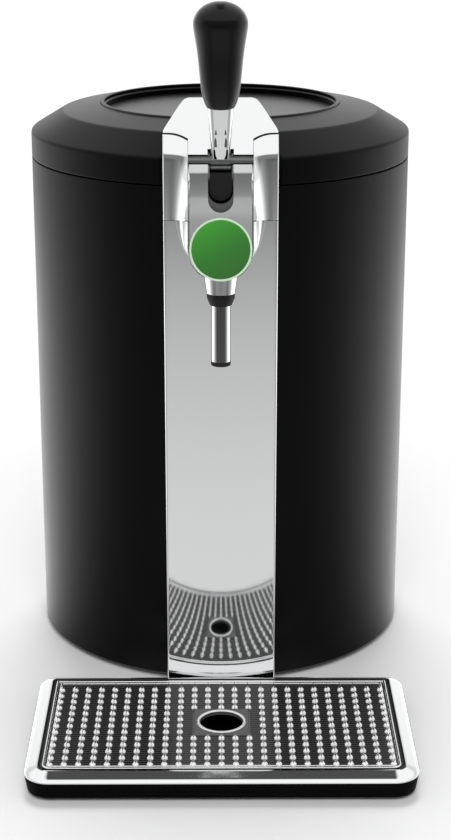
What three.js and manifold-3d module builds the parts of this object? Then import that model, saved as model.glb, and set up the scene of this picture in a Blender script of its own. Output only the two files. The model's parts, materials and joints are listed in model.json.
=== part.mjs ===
// Mini keg beer dispenser: a cooled barrel for a small keg, with a front column, a lever tap and a drip tray.
// Millimetres, +Z up. The tap and the tray face -Y. Until the last lines, the barrel's axis is the Z axis.
import * as THREE from 'three';
import { mergeGeometries, mergeVertices } from 'three/addons/utils/BufferGeometryUtils.js';
import Module from 'manifold-3d';

const wasm = await Module();
wasm.setup();

// Driving dimensions

// Clearances that all pieces share, how far a cutting tool runs past its work, and what counts as one corner
const gap = 0.3;
const slack = 0.5;
const overrun = 6;
const weld = 0.0005;
const sliver = 0.01;

// How finely round forms are drawn
const facets = { barrel: 40, well: 32, ring: 28, small: 14, bore: 16, tiny: 8, cutter: 96, corner: 3, arc: 6 };
Object.assign(facets, { post: 4, lean: 3, flank: 7, stem: 4, bend: 8 });

const foot = { height: 5, radius: 12, taper: 1.5, inset: 27, angleDeg: 45 };

// The keg well sets the size of the barrel round it, and its height
const well = { radius: 84, wall: 1.2, depth: 277.7, rimWidth: 8 };
const jacket = { inset: 18, floorWall: 22.5, above: 6 };
const collar = { thickness: 6, skirtDepth: 14, skirtWall: 2.4 };
const barrel = { around: 49, wall: 2.6, overBase: 1, overCollar: 3.6 };

const base = { thickness: 4, rimHeight: 12, rimWall: 2.4, ribInset: 11, ribWall: 4 };
Object.assign(base, { slots: 4, slotHalf: 22, slotWidth: 4, slotPitch: 9, slotGap: 10 });
const supply = { half: 42, deep: 56, tall: 23, y: 22, corner: 3 };
const board = { half: 30, deep: 34, wall: 1.6, ahead: 39, bossHeight: 4, bossRadius: 3, bossInset: 5 };

// Front column: a bright convex panel over a dark chassis, both round about the barrel's axis
const column = { width: 73.4, proud: 21.4, panelWall: 1.2, flangeInset: 8.8, panelRise: 0.6 };
Object.assign(column, { chassisWall: 3, chassisRise: 1.5, chassisDrop: 10, cells: 5, lipWidth: 5, lipWall: 3 });
column.lipInset = 16;

// Tap head: two posts, a tilted ridge round the tap's face, and a parting line to the column's panel
const head = { partingDrop: 17.6, partingRise: 0.146, partingGap: 0.5, backInset: 5.1, leanRise: 24.4, leanDeg: 25 };
Object.assign(head, { ridgeProud: 1.1, tiltDeg: 14.5, ridgeHalf: 22.1, ridgeRaise: 1.2, ridgeWidth: 1.1 });
Object.assign(head, { flankWidth: 8, flankDeep: 29, flankStart: 5, backWall: 1.9, backWallDrop: 3, backWallGap: 2 });
Object.assign(head, { topRise: 38.4, topSlope: 2.8, topFlat: 4, bossDepth: 30 });

const badge = { drop: 14.35, radius: 18.4, thickness: 1.4, dome: 0.5, bezelWidth: 0.7, bezelHeight: 1.9 };

// Satin insert that the badge sits on, with the slot that the lever swings in
const face = { recess: 2.2, topRecess: 1.2, bendRise: 6, topDrop: 5, lipRadius: 2.4, lipDepth: 2.5, backInset: 7.3 };
Object.assign(face, { slotHalf: 8, slotRise: 7.7 });

const spout = { proud: 9.4, tubeRadius: 6.375, tubeBore: 4.6, length: 45.2, tipLength: 3, tubeInto: 1.3 };
Object.assign(spout, { ringDrop: 28.95, ringTall: 8.2, ringRadius: 8.95, ringLand: 3.5 });
Object.assign(spout, { collarTall: 12.3, collarLow: 9.4, collarHigh: 11.6 });

const line = { radius: 3.5, drop: 2, bend: 12, startGap: 8, endInset: 1.5, nozzleReach: 12, nozzleRadius: 4.2 };
Object.assign(line, { flangeRadius: 6.5, flangeWall: 2.6, barbRadius: 4.9, barbLength: 3, channelHalf: 7.5 });

// Lever: its pivot, its stem from the hub up into the grip, and the finger that holds the plunger down
const lever = { inset: 3.9, drop: 3.6, hubRadius: 5.5, hubHalf: 7.4, pinRadius: 2.75, pinOver: 3.5 };
Object.assign(lever, { stemTall: 35.6, stemLean: 4, stemDepthLow: 6.6, stemDepthHigh: 10.5, fingerHalf: 5.6 });
Object.assign(lever, { stemWidthLow: 12.6, stemWidthHigh: 16.8, grooveHalf: 0.8, grooveDepth: 1.2, tipRadius: 2.2 });
const grip = { overlap: 3.4, height: 66.9, halfWidth: 17.2, depthShare: 0.84 };
const plunger = { behind: 12.3, thickness: 5, width: 8, drop: 14.6 };
const block = { half: 20.4, rise: 15, behind: 32.1 };

// Lid: band, shoulder, crown, raised ring and recessed disc
const lid = { seam: 0.8, bandHeight: 17.6, shoulderWidth: 22, shoulderHeight: 13.3, crownRise: 4.7, wall: 2.4 };
Object.assign(lid, { crownWidth: 26.8, ringWidth: 2.7, ringRise: 1.2, ringEdge: 0.6, recessDepth: 8.2, discWall: 1.2 });
Object.assign(lid, { ledgeWidth: 3, linerRise: 2, linerWall: 2, gasketOut: 9, gasketWidth: 6, foamWidth: 2.2 });
const nose = { inset: 2, foldIn: 6.5, crestOut: 7.8, heelOut: 1.8, crestRise: 13.7 };
Object.assign(nose, { side: 1.1, crestHalf: 22.4, corner: 5, notchHeight: 3.3, sideGap: 0.4 });
const hinge = { reach: 7.5, rise: 1.6, pinRadius: 2.5, pinOver: 0.9, knuckleRadius: 6, knuckleHalf: 24 };
Object.assign(hinge, { earWidth: 6, footDepth: 20, footWall: 3, armRise: 12.5, footDrop: 18 });

// Cooling unit and rear housing
const rear = { half: 60, reach: 27, airGap: 17.8, rise: 3, wall: 2.4, corner: 14, windowHalf: 50 };
Object.assign(rear, { windowRise: 18, windowDrop: 12 });
const cooler = { rise: 108, blockHalf: 30, blockTall: 76, blockDepth: 12, chipHalf: 20, chipDepth: 3.8 };
Object.assign(cooler, { sinkHalf: 43, sinkTall: 96, sinkBase: 5, finDepth: 20, fins: 13, finWall: 1.5 });
const fan = { size: 80, depth: 15, bore: 37.4, hub: 15, blades: 7, tipGap: 1, bladeWall: 1.6, chord: 13 };
Object.assign(fan, { pitchDeg: 38, strutDepth: 3.2, strutWidth: 5, struts: 4, axle: 2, rotorDepth: 10.4 });
const vent = { half: 46, wall: 2.4, slots: 9, slotTall: 5, border: 7 };
const inlet = { x: -32, rise: 32, half: 15, tall: 24, depth: 15, recess: 10, recessHalf: 11, recessTall: 16 };
Object.assign(inlet, { flange: 1.8, flangeOver: 2, pinRadius: 1.2, pinPitch: 8.6, pinLength: 8 });
const toggle = { x: 32, rise: 32, half: 10, tall: 26, depth: 12, flange: 1.8, flangeOver: 2, wall: 1.6 };
Object.assign(toggle, { rockDepth: 4, restDeg: 8, pocket: 8 });

// Drip tray: black base, chrome rim that slopes outwards, and a dimpled plate
const tray = { width: 246.5, depth: 145.4, ahead: 1.2, frontCorner: 17, backCorner: 12, lip: 12.5, edgeTall: 1.6 };
Object.assign(tray, { slopeRise: 3.9, slope: 9.7, crestWidth: 1.4, stepWidth: 3.2, ledgeRise: 1.7, ledgeWall: 1.4 });
Object.assign(tray, { lipWidth: 4, inset: 1.4, draft: 3.2, wall: 2.2, footHeight: 1.6, floorWall: 2, footRadius: 7 });
Object.assign(tray, { footInset: 18, tongueHalf: 26, tongueLength: 20, tongueDrop: 1, tongueTall: 6.5 });
const plate = { wall: 1.2, rollWidth: 1.6, grooveWidth: 1.3, marginWidth: 1.7, rise: 0.8 };
const dimple = { pitchX: 8.9, pitchY: 8.6, radius: 2.9, height: 2.6, sink: 0.3, sides: 5 };
Object.assign(dimple, { marginSide: 4.6, marginFront: 5.8, marginBack: 13.2 });
const pad = { offset: 0.6, halfWidth: 17.8, halfDepth: 18.2, hole: 14.3, rollWidth: 1.5, rollRise: 0.9 };

// Outlines that follow the size they belong to, as shares of it

// Grip: height share, half-width share
const gripShares = [[0, 0.31], [0.06, 0.585], [0.13, 0.67], [0.3, 0.75], [0.53, 0.84], [0.67, 0.92], [0.76, 1],
  [0.86, 0.92], [0.92, 0.76], [0.97, 0.47]];
// How far up the posts' flank rises, over its width
const flankShares = [0, 0.2, 0.4, 0.6, 0.8, 0.93];
const flankCurveShare = 1.6;
const superShare = 0.7;
const gripSuperShare = 0.94;

// Sizes and places worked out from the driving dimensions

const radians = THREE.MathUtils.degToRad;
const tilt = radians(head.tiltDeg);

// The barrel and what stands in it, from the floor up
const baseTop = foot.height + base.thickness;
jacket.bottom = baseTop + supply.tall + jacket.above;
well.floor = jacket.bottom + jacket.floorWall + gap + well.wall;
well.rim = well.floor + well.depth;
const wellOuter = well.radius + well.wall;
const jacketTop = well.rim - well.wall - gap;
const collarBottom = well.rim + gap;
const collarTop = collarBottom + collar.thickness;
barrel.radius = well.radius + barrel.around;
barrel.bottom = foot.height - barrel.overBase;
barrel.top = collarTop + barrel.overCollar;
const shellInner = barrel.radius - barrel.wall;
foot.circle = barrel.radius - foot.inset;
jacket.radius = barrel.radius - jacket.inset;
base.ribRadius = jacket.radius - base.ribInset;
const supplyBack = supply.y + supply.deep / 2;
base.slotStart = supplyBack + base.slotGap;
board.y = supply.y - supply.deep / 2 - board.ahead - board.deep / 2;

// The column
column.skinRadius = barrel.radius + column.proud;
column.flangeBack = barrel.radius - column.flangeInset;
column.lipBack = barrel.radius - column.lipInset;
column.panelBottom = barrel.bottom + column.panelRise;
const columnHalf = column.width / 2;
const panelInner = column.skinRadius - column.panelWall;
const chassisRadius = panelInner - gap;
const chassisHalf = columnHalf - column.panelWall - gap;
const columnEdge = Math.sqrt(column.skinRadius ** 2 - columnHalf ** 2);
const notchHalf = columnHalf + gap;
const lipHalf = chassisHalf + column.lipWidth;

// The tap head
head.parting = barrel.top - head.partingDrop;
head.leanStart = barrel.top + head.leanRise;
head.postTop = barrel.top + head.topRise;
head.postTopInner = head.postTop - head.topSlope;
head.back = barrel.radius - head.backInset;
head.ridgeFront = column.skinRadius + head.ridgeProud;
head.flankLow = head.parting - head.flankDeep;
head.flankHigh = head.parting - head.flankStart;
head.backWallBottom = barrel.top - head.backWallDrop;
head.backWallTop = head.leanStart - head.backWallGap;
badge.height = head.parting - badge.drop;
face.bendHeight = head.parting + face.bendRise;
face.top = head.leanStart - face.topDrop;
face.slotBottom = head.parting + face.slotRise;
line.height = head.parting - line.drop;
column.chassisTop = line.height - column.chassisDrop;
block.top = line.height + block.rise;
spout.axis = column.skinRadius + spout.proud;
spout.ringTop = badge.height - spout.ringDrop;
spout.ringBottom = spout.ringTop - spout.ringTall;
spout.collarTop = spout.ringTop + spout.collarTall;
spout.tubeTop = spout.ringTop + spout.tubeInto;
spout.tipTop = spout.ringTop - spout.length;
line.start = well.radius + line.startGap;
line.nozzleTip = well.radius - line.nozzleReach;
line.end = spout.tipTop - line.endInset;
const faceHalf = head.ridgeHalf - head.ridgeWidth - gap;
const pocketHalf = head.ridgeHalf - head.ridgeWidth;
const bossAxisTop = face.top + overrun;

// The lever and what it works
lever.back = column.skinRadius - lever.inset;
lever.height = head.leanStart - lever.drop;
lever.stemTop = lever.height + lever.stemTall;
lever.pinHalf = pocketHalf + lever.pinOver;
grip.bottom = lever.stemTop - grip.overlap;
face.back = lever.back - face.backInset;
plunger.back = lever.back - plunger.behind;
plunger.top = lever.height - plunger.drop;
block.back = lever.back - block.behind;
const tipBack = plunger.back;
const tipHeight = plunger.top + gap + lever.tipRadius;
const plungerBottom = line.height + line.radius + gap;

// The lid and its hinge
const lidBottom = barrel.top + lid.seam;
const bandTop = lidBottom + lid.bandHeight;
const shoulderRadius = barrel.radius - lid.shoulderWidth;
const shoulderTop = bandTop + lid.shoulderHeight;
const crownTop = shoulderTop + lid.crownRise;
const slantWall = lid.wall / Math.cos(Math.atan2(lid.shoulderHeight, lid.shoulderWidth));
lid.ringOuter = shoulderRadius - lid.crownWidth;
lid.gasketRadius = well.radius + lid.gasketOut;
const ringTop = crownTop + lid.ringRise;
const ringInner = lid.ringOuter - lid.ringWidth;
const discTop = ringTop - lid.recessDepth;
const discBottom = discTop - lid.discWall;
const hoopInner = lid.ringOuter + gap;
const linerBottom = lidBottom + lid.linerRise;
const linerTop = linerBottom + lid.linerWall;
const lidFlat = head.back - gap * 2;
const lidInner = barrel.radius - lid.wall;
nose.front = lever.back - nose.inset;
nose.bottom = head.leanStart;
nose.fold = head.postTop;
nose.foldBack = nose.front - nose.foldIn;
nose.crestBack = lid.ringOuter + nose.crestOut;
nose.crestHeight = head.postTop + nose.crestRise;
nose.heelBack = lid.ringOuter + nose.heelOut;
nose.halfWidth = columnHalf - nose.side;
hinge.back = barrel.radius + hinge.reach;
hinge.height = lidBottom + hinge.rise;
hinge.pinHalf = hinge.knuckleHalf + slack + hinge.earWidth + hinge.pinOver;

// The tray
tray.back = column.skinRadius + tray.ahead;
tray.front = tray.back + tray.depth;
tray.edge = tray.lip + tray.edgeTall;
tray.crest = tray.edge + tray.slopeRise;
tray.ledge = tray.lip + tray.ledgeRise;
tray.tongueTop = tray.lip - tray.tongueDrop;
tray.tongueBottom = tray.tongueTop - tray.tongueTall;
column.chassisBottom = tray.tongueTop + column.chassisRise;
const trayHalf = tray.width / 2;
const ledgeTop = tray.ledge + tray.ledgeWall;
const plateInset = tray.slope + tray.crestWidth + slack;
const plateBottom = ledgeTop + gap;
const plateTop = plateBottom + plate.wall;
const plateHigh = plateTop + plate.rise;
const floorTop = tray.footHeight + tray.floorWall;
const dimpleWide = trayHalf - plateInset - dimple.marginSide;
const dimpleDeep = tray.depth - plateInset * 2 - dimple.marginFront - dimple.marginBack;
dimple.columns = 1 + 2 * Math.floor(dimpleWide / dimple.pitchX + sliver);
dimple.rows = 1 + Math.floor(dimpleDeep / dimple.pitchY + sliver);
dimple.front = tray.front - plateInset - dimple.marginFront;
pad.centre = (tray.front + tray.back) / 2 - pad.offset;

// The cooling unit, from the keg well outwards, and the housing round it
cooler.height = well.floor + cooler.rise;
const blockBack = wellOuter + gap + cooler.blockDepth;
const chipBack = blockBack + gap + cooler.chipDepth;
const sinkFront = chipBack + gap;
const finFront = sinkFront + cooler.sinkBase;
const fanFront = finFront + cooler.finDepth + gap;
const fanBack = fanFront + fan.depth;
fan.bladeRadius = fan.bore - fan.tipGap;
rear.back = Math.max(barrel.radius + rear.reach, fanBack + rear.airGap);
rear.bottom = baseTop + rear.rise;
rear.top = hinge.height - hinge.footDrop;
rear.windowBottom = rear.bottom + rear.windowRise;
rear.windowTop = rear.top - rear.windowDrop;
inlet.height = rear.bottom + inlet.rise;
toggle.height = rear.bottom + toggle.rise;
const rearMost = rear.back + gap + inlet.flange;

// Building blocks

// Volume inside a closed skin, below zero where its faces point inwards
function enclosed(geometry) {
  const place = geometry.attributes.position;
  const corner = [new THREE.Vector3(), new THREE.Vector3(), new THREE.Vector3()];
  let total = 0;
  for (let i = 0; i < geometry.index.count; i += 3) {
    corner.forEach((point, k) => point.fromBufferAttribute(place, geometry.index.getX(i + k)));
    total += corner[0].dot(corner[1].clone().cross(corner[2])) / 6;
  }
  return total;
}

// Merges shared corners, drops collapsed faces and makes the skin face outwards
function closed(geometry) {
  const loose = geometry.index ? geometry.toNonIndexed() : geometry;
  const bare = new THREE.BufferGeometry().setAttribute('position', loose.getAttribute('position'));
  const merged = mergeVertices(bare, weld);
  const faces = [];
  for (let i = 0; i < merged.index.count; i += 3) {
    const [a, b, c] = [0, 1, 2].map((k) => merged.index.getX(i + k));
    if (a !== b && b !== c && c !== a) faces.push(a, b, c);
  }
  merged.setIndex(faces);
  if (enclosed(merged) < 0) merged.setIndex(faces.reverse());
  return merged;
}

function solidOf(geometry) {
  const skin = closed(geometry);
  const vertProperties = Float32Array.from(skin.attributes.position.array);
  return new wasm.Manifold(new wasm.Mesh({ numProp: 3, vertProperties, triVerts: Uint32Array.from(skin.index.array) }));
}

function geometryOf(solid) {
  const mesh = solid.getMesh();
  const geometry = new THREE.BufferGeometry();
  geometry.setAttribute('position', new THREE.BufferAttribute(Float32Array.from(mesh.vertProperties), 3));
  geometry.setIndex(Array.from(mesh.triVerts));
  return geometry;
}

const combined = (parts, way) => geometryOf(parts.map(solidOf).reduce((left, right) => left[way](right)));
const join = (...parts) => combined(parts, 'add');
const cut = (...parts) => combined(parts, 'subtract');
const common = (...parts) => combined(parts, 'intersect');

// A block between two corners, given as its extent along each axis
function slab(x, y, z) {
  const geometry = new THREE.BoxGeometry(x[1] - x[0], y[1] - y[0], z[1] - z[0]);
  return geometry.translate((x[0] + x[1]) / 2, (y[0] + y[1]) / 2, (z[0] + z[1]) / 2);
}

// A block centred on x = 0
const middle = (half, y, z) => slab([-half, half], y, z);

// Turned forms, from a profile of [radius, height] points that ends on the axis or closes on itself
function turned(profile, segments = facets.ring) {
  const points = profile.map(([radius, height]) => new THREE.Vector2(radius, height));
  return new THREE.LatheGeometry(points, segments).rotateX(Math.PI / 2);
}
const turnedAlongX = (profile, segments) => turned(profile, segments).rotateY(Math.PI / 2);
const turnedAlongY = (profile, segments) => turned(profile, segments).rotateX(-Math.PI / 2);

const rod = (radius, low, high) => [[0, low], [radius, low], [radius, high], [0, high]];
const hoop = (inner, outer, low, high) => [[inner, low], [outer, low], [outer, high], [inner, high], [inner, low]];

const outline = (points) => new THREE.Shape(points.map(([across, up]) => new THREE.Vector2(across, up)));

// An outline whose corners are rounded
function softOutline(points, radius) {
  const shape = new THREE.Shape();
  const corners = points.map(([across, up]) => new THREE.Vector2(across, up));
  corners.forEach((corner, i) => {
    const before = corners[(i + corners.length - 1) % corners.length];
    const after = corners[(i + 1) % corners.length];
    const into = corner.clone().add(before.clone().sub(corner).setLength(radius));
    const out = corner.clone().add(after.clone().sub(corner).setLength(radius));
    if (i === 0) shape.moveTo(into.x, into.y);
    else shape.lineTo(into.x, into.y);
    shape.quadraticCurveTo(corner.x, corner.y, out.x, out.y);
  });
  shape.closePath();
  return shape;
}

function extruded(shape, depth, curveSegments = facets.arc) {
  return new THREE.ExtrudeGeometry(shape, { depth, bevelEnabled: false, curveSegments });
}

const axisX = new THREE.Vector3(1, 0, 0);
const axisY = new THREE.Vector3(0, 1, 0);
const axisZ = new THREE.Vector3(0, 0, 1);

// Prisms whose outline lies in the plan (x, y), in the side view (y, z) or in the front view (x, z)
const prismZ = (shape, low, high, curve) => extruded(shape, high - low, curve).translate(0, 0, low);

function prismX(shape, low, high, curve) {
  const turn = new THREE.Matrix4().makeBasis(axisY, axisZ, axisX);
  return extruded(shape, high - low, curve).applyMatrix4(turn).translate(low, 0, 0);
}

function prismY(shape, low, high, curve) {
  const turn = new THREE.Matrix4().makeBasis(axisX, axisZ, axisY.clone().negate());
  return extruded(shape, high - low, curve).applyMatrix4(turn).translate(0, high, 0);
}

// Joins loops of as many points each into one skin. Its ends are capped, unless it runs round to its start.
function loft(loops, endless = false) {
  const count = loops[0].length;
  const faces = [];
  const spans = endless ? loops.length : loops.length - 1;
  for (let k = 0; k < spans; k += 1) {
    for (let i = 0; i < count; i += 1) {
      const near = k * count;
      const far = ((k + 1) % loops.length) * count;
      const next = (i + 1) % count;
      faces.push(near + i, near + next, far + next, near + i, far + next, far + i);
    }
  }
  if (!endless) faces.push(...cap(loops[0], 0, true), ...cap(loops.at(-1), (loops.length - 1) * count, false));
  const geometry = new THREE.BufferGeometry();
  const places = loops.flat().flatMap((point) => point.toArray());
  geometry.setAttribute('position', new THREE.Float32BufferAttribute(places, 3));
  geometry.setIndex(faces);
  return geometry;
}

// Faces that close a level loop, seen from above or from below
function cap(loop, first, below) {
  const flat = loop.map((point) => new THREE.Vector2(point.x, point.y));
  return THREE.ShapeUtils.triangulateShape(flat, []).flatMap(([a, b, c]) => {
    const area = THREE.ShapeUtils.area([flat[a], flat[b], flat[c]]);
    const ordered = (area > 0) === below ? [c, b, a] : [a, b, c];
    return ordered.map((index) => first + index);
  });
}

// A loop with four round corners, seen from above, drawn inwards from the tray's outer edge
function trayLoop(inset, height) {
  const half = trayHalf - inset;
  const front = -tray.front + inset;
  const back = -tray.back - inset;
  const frontRadius = Math.max(tray.frontCorner - inset, slack);
  const backRadius = Math.max(tray.backCorner - inset, slack);
  const corners = [[-1, front + frontRadius, frontRadius, 2], [1, front + frontRadius, frontRadius, 3],
    [1, back - backRadius, backRadius, 0], [-1, back - backRadius, backRadius, 1]];
  return corners.flatMap(([side, centre, radius, quarter]) => {
    const steps = Array.from({ length: facets.corner + 1 }, (_, k) => k / facets.corner);
    return steps.map((share) => {
      const angle = (quarter + share) * (Math.PI / 2);
      const across = side * (half - radius) + radius * Math.cos(angle);
      return new THREE.Vector3(across, centre + radius * Math.sin(angle), height);
    });
  });
}

const traySection = (inset) => outline(trayLoop(inset, 0).map((point) => [point.x, point.y]));

// Column outline: straight sides and a front that is round about the barrel's axis
function columnSection(half, radius, back) {
  const reach = Math.asin(half / radius);
  const shape = new THREE.Shape();
  shape.moveTo(-half, -back);
  shape.lineTo(-half, -Math.sqrt(radius ** 2 - half ** 2));
  shape.absarc(0, 0, radius, -Math.PI / 2 - reach, -Math.PI / 2 + reach, false);
  shape.lineTo(half, -back);
  shape.closePath();
  return shape;
}

// Front of the tilted ridge at a height, before it leans back at the top
const ridgeY = (height) => -head.ridgeFront - (head.leanStart - height) * Math.tan(tilt);

// Turns a form drawn on the tilted front, with its origin at the badge's centre, to its place
const onFront = (geometry) => geometry.rotateX(Math.PI / 2 - tilt).translate(0, ridgeY(badge.height), badge.height);

// A prism with a half-round lower end that is square to the tilted front
function capsule(half, deep, proud) {
  const shape = new THREE.Shape();
  const rise = (bossAxisTop - badge.height) / Math.cos(tilt);
  const axis = head.ridgeRaise;
  shape.moveTo(half, rise);
  shape.lineTo(-half, rise);
  shape.lineTo(-half, axis);
  shape.absarc(0, axis, half, Math.PI, Math.PI * 2, false);
  shape.closePath();
  return onFront(extruded(shape, deep + proud).translate(0, 0, -deep));
}

// Everything below or above the parting line between the column's panel and the tap head
function partingHalf(upper) {
  const shift = upper ? head.partingGap : 0;
  const near = -column.lipBack + overrun;
  const far = -spout.axis - head.bossDepth;
  const level = (y) => head.parting + shift + head.partingRise * (-y - columnEdge);
  const end = upper ? head.postTop + overrun : 0;
  return prismX(outline([[near, level(near)], [near, end], [far, end], [far, level(far)]]), -barrel.radius, barrel.radius);
}

// How much of the flank beside the ridge is left at a height
function flankShare(height) {
  return THREE.MathUtils.smoothstep(height, head.flankLow, head.flankHigh);
}

// Half-width of the ridge at a height: straight at the top, round below the centre of its lower end
function ridgeHalf(height) {
  const below = Math.max(0, (badge.height - height) / Math.cos(tilt) + head.ridgeRaise);
  return Math.sqrt(Math.max(head.ridgeHalf ** 2 - below ** 2, sliver));
}

// Plan section through the posts at a height: panel skin, flank, ridge
function headLoop(height, outerHalf, back) {
  const lean = Math.max(0, height - head.leanStart) * Math.tan(radians(head.leanDeg));
  const skin = (across) => -Math.sqrt(column.skinRadius ** 2 - across ** 2) + lean;
  const half = ridgeHalf(height);
  const reach = head.flankWidth * flankShare(height) + sliver;
  const ridge = ridgeY(height) + lean;
  const footY = skin(half + reach);
  const left = [[-outerHalf(half + reach), -back]];
  [0, 1 / 2].forEach((share) => {
    const across = THREE.MathUtils.lerp(outerHalf(half + reach), half + reach, share);
    left.push([-across, skin(across)]);
  });
  flankShares.forEach((share) => {
    left.push([-(half + reach * (1 - share)), footY + (ridge - footY) * share ** flankCurveShare]);
  });
  left.push([-half, ridge]);
  const right = left.map(([across, y]) => [-across, y]).reverse();
  return [...left, ...right].map(([across, y]) => new THREE.Vector3(across, y, height));
}

// Heights at which a form that changes on the way up is drawn
function levels(low, high, count) {
  return Array.from({ length: count + 1 }, (_, k) => THREE.MathUtils.lerp(low, high, k / count));
}

// A loop like an ellipse with fuller corners, about a place
function oval(halfWidth, halfDepth, y, height, share, count = facets.small) {
  return Array.from({ length: count }, (_, k) => {
    const angle = (k / count) * Math.PI * 2;
    const swell = (value) => Math.sign(value) * Math.abs(value) ** share;
    return new THREE.Vector3(halfWidth * swell(Math.cos(angle)), y + halfDepth * swell(Math.sin(angle)), height);
  });
}

// Barrel and base

function makeFoot() {
  const profile = [[0, 0], [foot.radius - foot.taper, 0], [foot.radius, foot.taper], [foot.radius, foot.height]];
  return turned([...profile, [0, foot.height]], facets.bore);
}

function footPlaces() {
  const across = foot.circle * Math.sin(radians(foot.angleDeg));
  const along = foot.circle * Math.cos(radians(foot.angleDeg));
  return { foot_front_left: [-across, -along], foot_front_right: [across, -along],
    foot_rear_left: [-across, along], foot_rear_right: [across, along] };
}

function makeBarrelShell() {
  const tube = turned(hoop(shellInner, barrel.radius, barrel.bottom, barrel.top), facets.barrel);
  const notch = middle(notchHalf, [-barrel.radius - overrun, -well.radius], [0, barrel.top + overrun]);
  const window = middle(rear.windowHalf, [well.radius, barrel.radius + overrun], [rear.windowBottom, rear.windowTop]);
  return cut(tube, notch, window);
}

function makeBasePlate() {
  const outer = shellInner - gap;
  const rim = outer - base.rimWall;
  const rimTop = baseTop + base.rimHeight;
  const ribOuter = base.ribRadius + base.ribWall;
  const ribTop = jacket.bottom - gap;
  const disc = turned([[0, foot.height], [outer, foot.height], [outer, rimTop], [rim, rimTop], [rim, baseTop],
    [0, baseTop]], facets.barrel);
  const rib = turned(hoop(base.ribRadius, ribOuter, foot.height, ribTop), facets.ring);
  const bosses = boardCorners().map(([x, y]) => turned(rod(board.bossRadius, foot.height, baseTop + board.bossHeight),
    facets.tiny).translate(x, y, 0));
  const notch = middle(lipHalf + gap, [-barrel.radius, -column.lipBack + gap], [0, jacket.bottom]);
  const slots = Array.from({ length: base.slots }, (_, k) => {
    const start = base.slotStart + k * base.slotPitch;
    return middle(base.slotHalf, [start, start + base.slotWidth], [0, baseTop + overrun]);
  });
  return cut(join(disc, rib, ...bosses), notch, ...slots);
}

function boardCorners() {
  const across = board.half - board.bossInset;
  const along = board.deep / 2 - board.bossInset;
  return [[-across, board.y - along], [across, board.y - along], [-across, board.y + along], [across, board.y + along]];
}

function makeKegWell() {
  const flange = well.radius + well.rimWidth;
  const under = well.rim - well.wall;
  const cup = turned([[0, well.floor - well.wall], [wellOuter, well.floor - well.wall], [wellOuter, under],
    [flange, under], [flange, well.rim], [well.radius, well.rim], [well.radius, well.floor], [0, well.floor]],
  facets.well);
  const hole = turnedAlongY(rod(line.nozzleRadius + gap, -wellOuter - overrun, -well.radius / 2), facets.small);
  return cut(cup, hole.translate(0, 0, line.height));
}

function makeInsulation() {
  const bore = wellOuter + gap;
  const floor = well.floor - well.wall - gap;
  const cup = turned([[0, jacket.bottom], [jacket.radius, jacket.bottom], [jacket.radius, jacketTop],
    [bore, jacketTop], [bore, floor], [0, floor]], facets.well);
  const tall = cooler.blockTall / 2 + slack;
  const blockWindow = middle(cooler.blockHalf + slack, [well.radius / 2, jacket.radius + overrun],
    [cooler.height - tall, cooler.height + tall]);
  const sinkTall = cooler.sinkTall / 2 + slack;
  const sinkWindow = middle(cooler.sinkHalf + slack, [sinkFront - slack, jacket.radius + overrun],
    [cooler.height - sinkTall, cooler.height + sinkTall]);
  const channel = middle(line.channelHalf, [-jacket.radius - overrun, -well.radius / 2],
    [line.height - line.channelHalf, jacketTop + overrun]);
  return cut(cup, blockWindow, sinkWindow, channel);
}

function makeWellCollar() {
  const outer = shellInner - gap;
  const skirt = outer - collar.skirtWall;
  const low = collarBottom - collar.skirtDepth;
  const ring = turned([[well.radius, collarBottom], [skirt, collarBottom], [skirt, low], [outer, low],
    [outer, collarTop], [well.radius, collarTop], [well.radius, collarBottom]], facets.barrel);
  const notch = middle(lipHalf + gap, [-barrel.radius, -column.lipBack + gap], [0, barrel.top]);
  return cut(ring, notch);
}

// Front column and tap

function makeColumnChassis() {
  const body = prismZ(columnSection(chassisHalf, chassisRadius, column.lipBack), column.chassisBottom, column.chassisTop);
  const inner = columnSection(chassisHalf - column.chassisWall, chassisRadius - column.chassisWall,
    column.lipBack - overrun);
  const pitch = (column.chassisTop - column.chassisBottom - column.chassisWall) / column.cells;
  const cells = Array.from({ length: column.cells }, (_, k) => {
    const floor = column.chassisBottom + column.chassisWall + k * pitch;
    return prismZ(inner, floor, floor + pitch - column.chassisWall);
  });
  const lips = [-1, 1].map((side) => {
    const reach = [side * (chassisHalf - column.chassisWall / 2), side * lipHalf].sort((a, b) => a - b);
    const depth = [-column.lipBack - column.lipWall, -column.lipBack];
    return slab(reach, depth, [baseTop + base.rimHeight, column.chassisTop]);
  });
  return join(cut(body, ...cells), ...lips);
}

function makeColumnPanel() {
  const skin = prismZ(columnSection(columnHalf, column.skinRadius, column.flangeBack), column.panelBottom, head.postTop);
  const inner = prismZ(columnSection(columnHalf - column.panelWall, panelInner, column.flangeBack - overrun), 0,
    head.postTop + overrun);
  const door = middle(tray.tongueHalf + slack, [-column.skinRadius - overrun, -column.flangeBack],
    [0, tray.tongueTop + slack]);
  return cut(common(cut(skin, inner), partingHalf(false)), door, capsule(head.ridgeHalf + gap, head.bossDepth, overrun));
}

// The underside of the lid's nose above a post, seen from the front
function postCrown(drop) {
  const outer = columnHalf + overrun;
  const inner = pocketHalf - nose.sideGap;
  const bend = columnHalf - head.topFlat;
  return [[outer, head.postTop - drop], [bend, head.postTop - drop], [(bend + head.ridgeHalf) / 2,
    (head.postTop + head.postTopInner) / 2 + sliver - drop], [inner, head.postTopInner - drop]];
}

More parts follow.
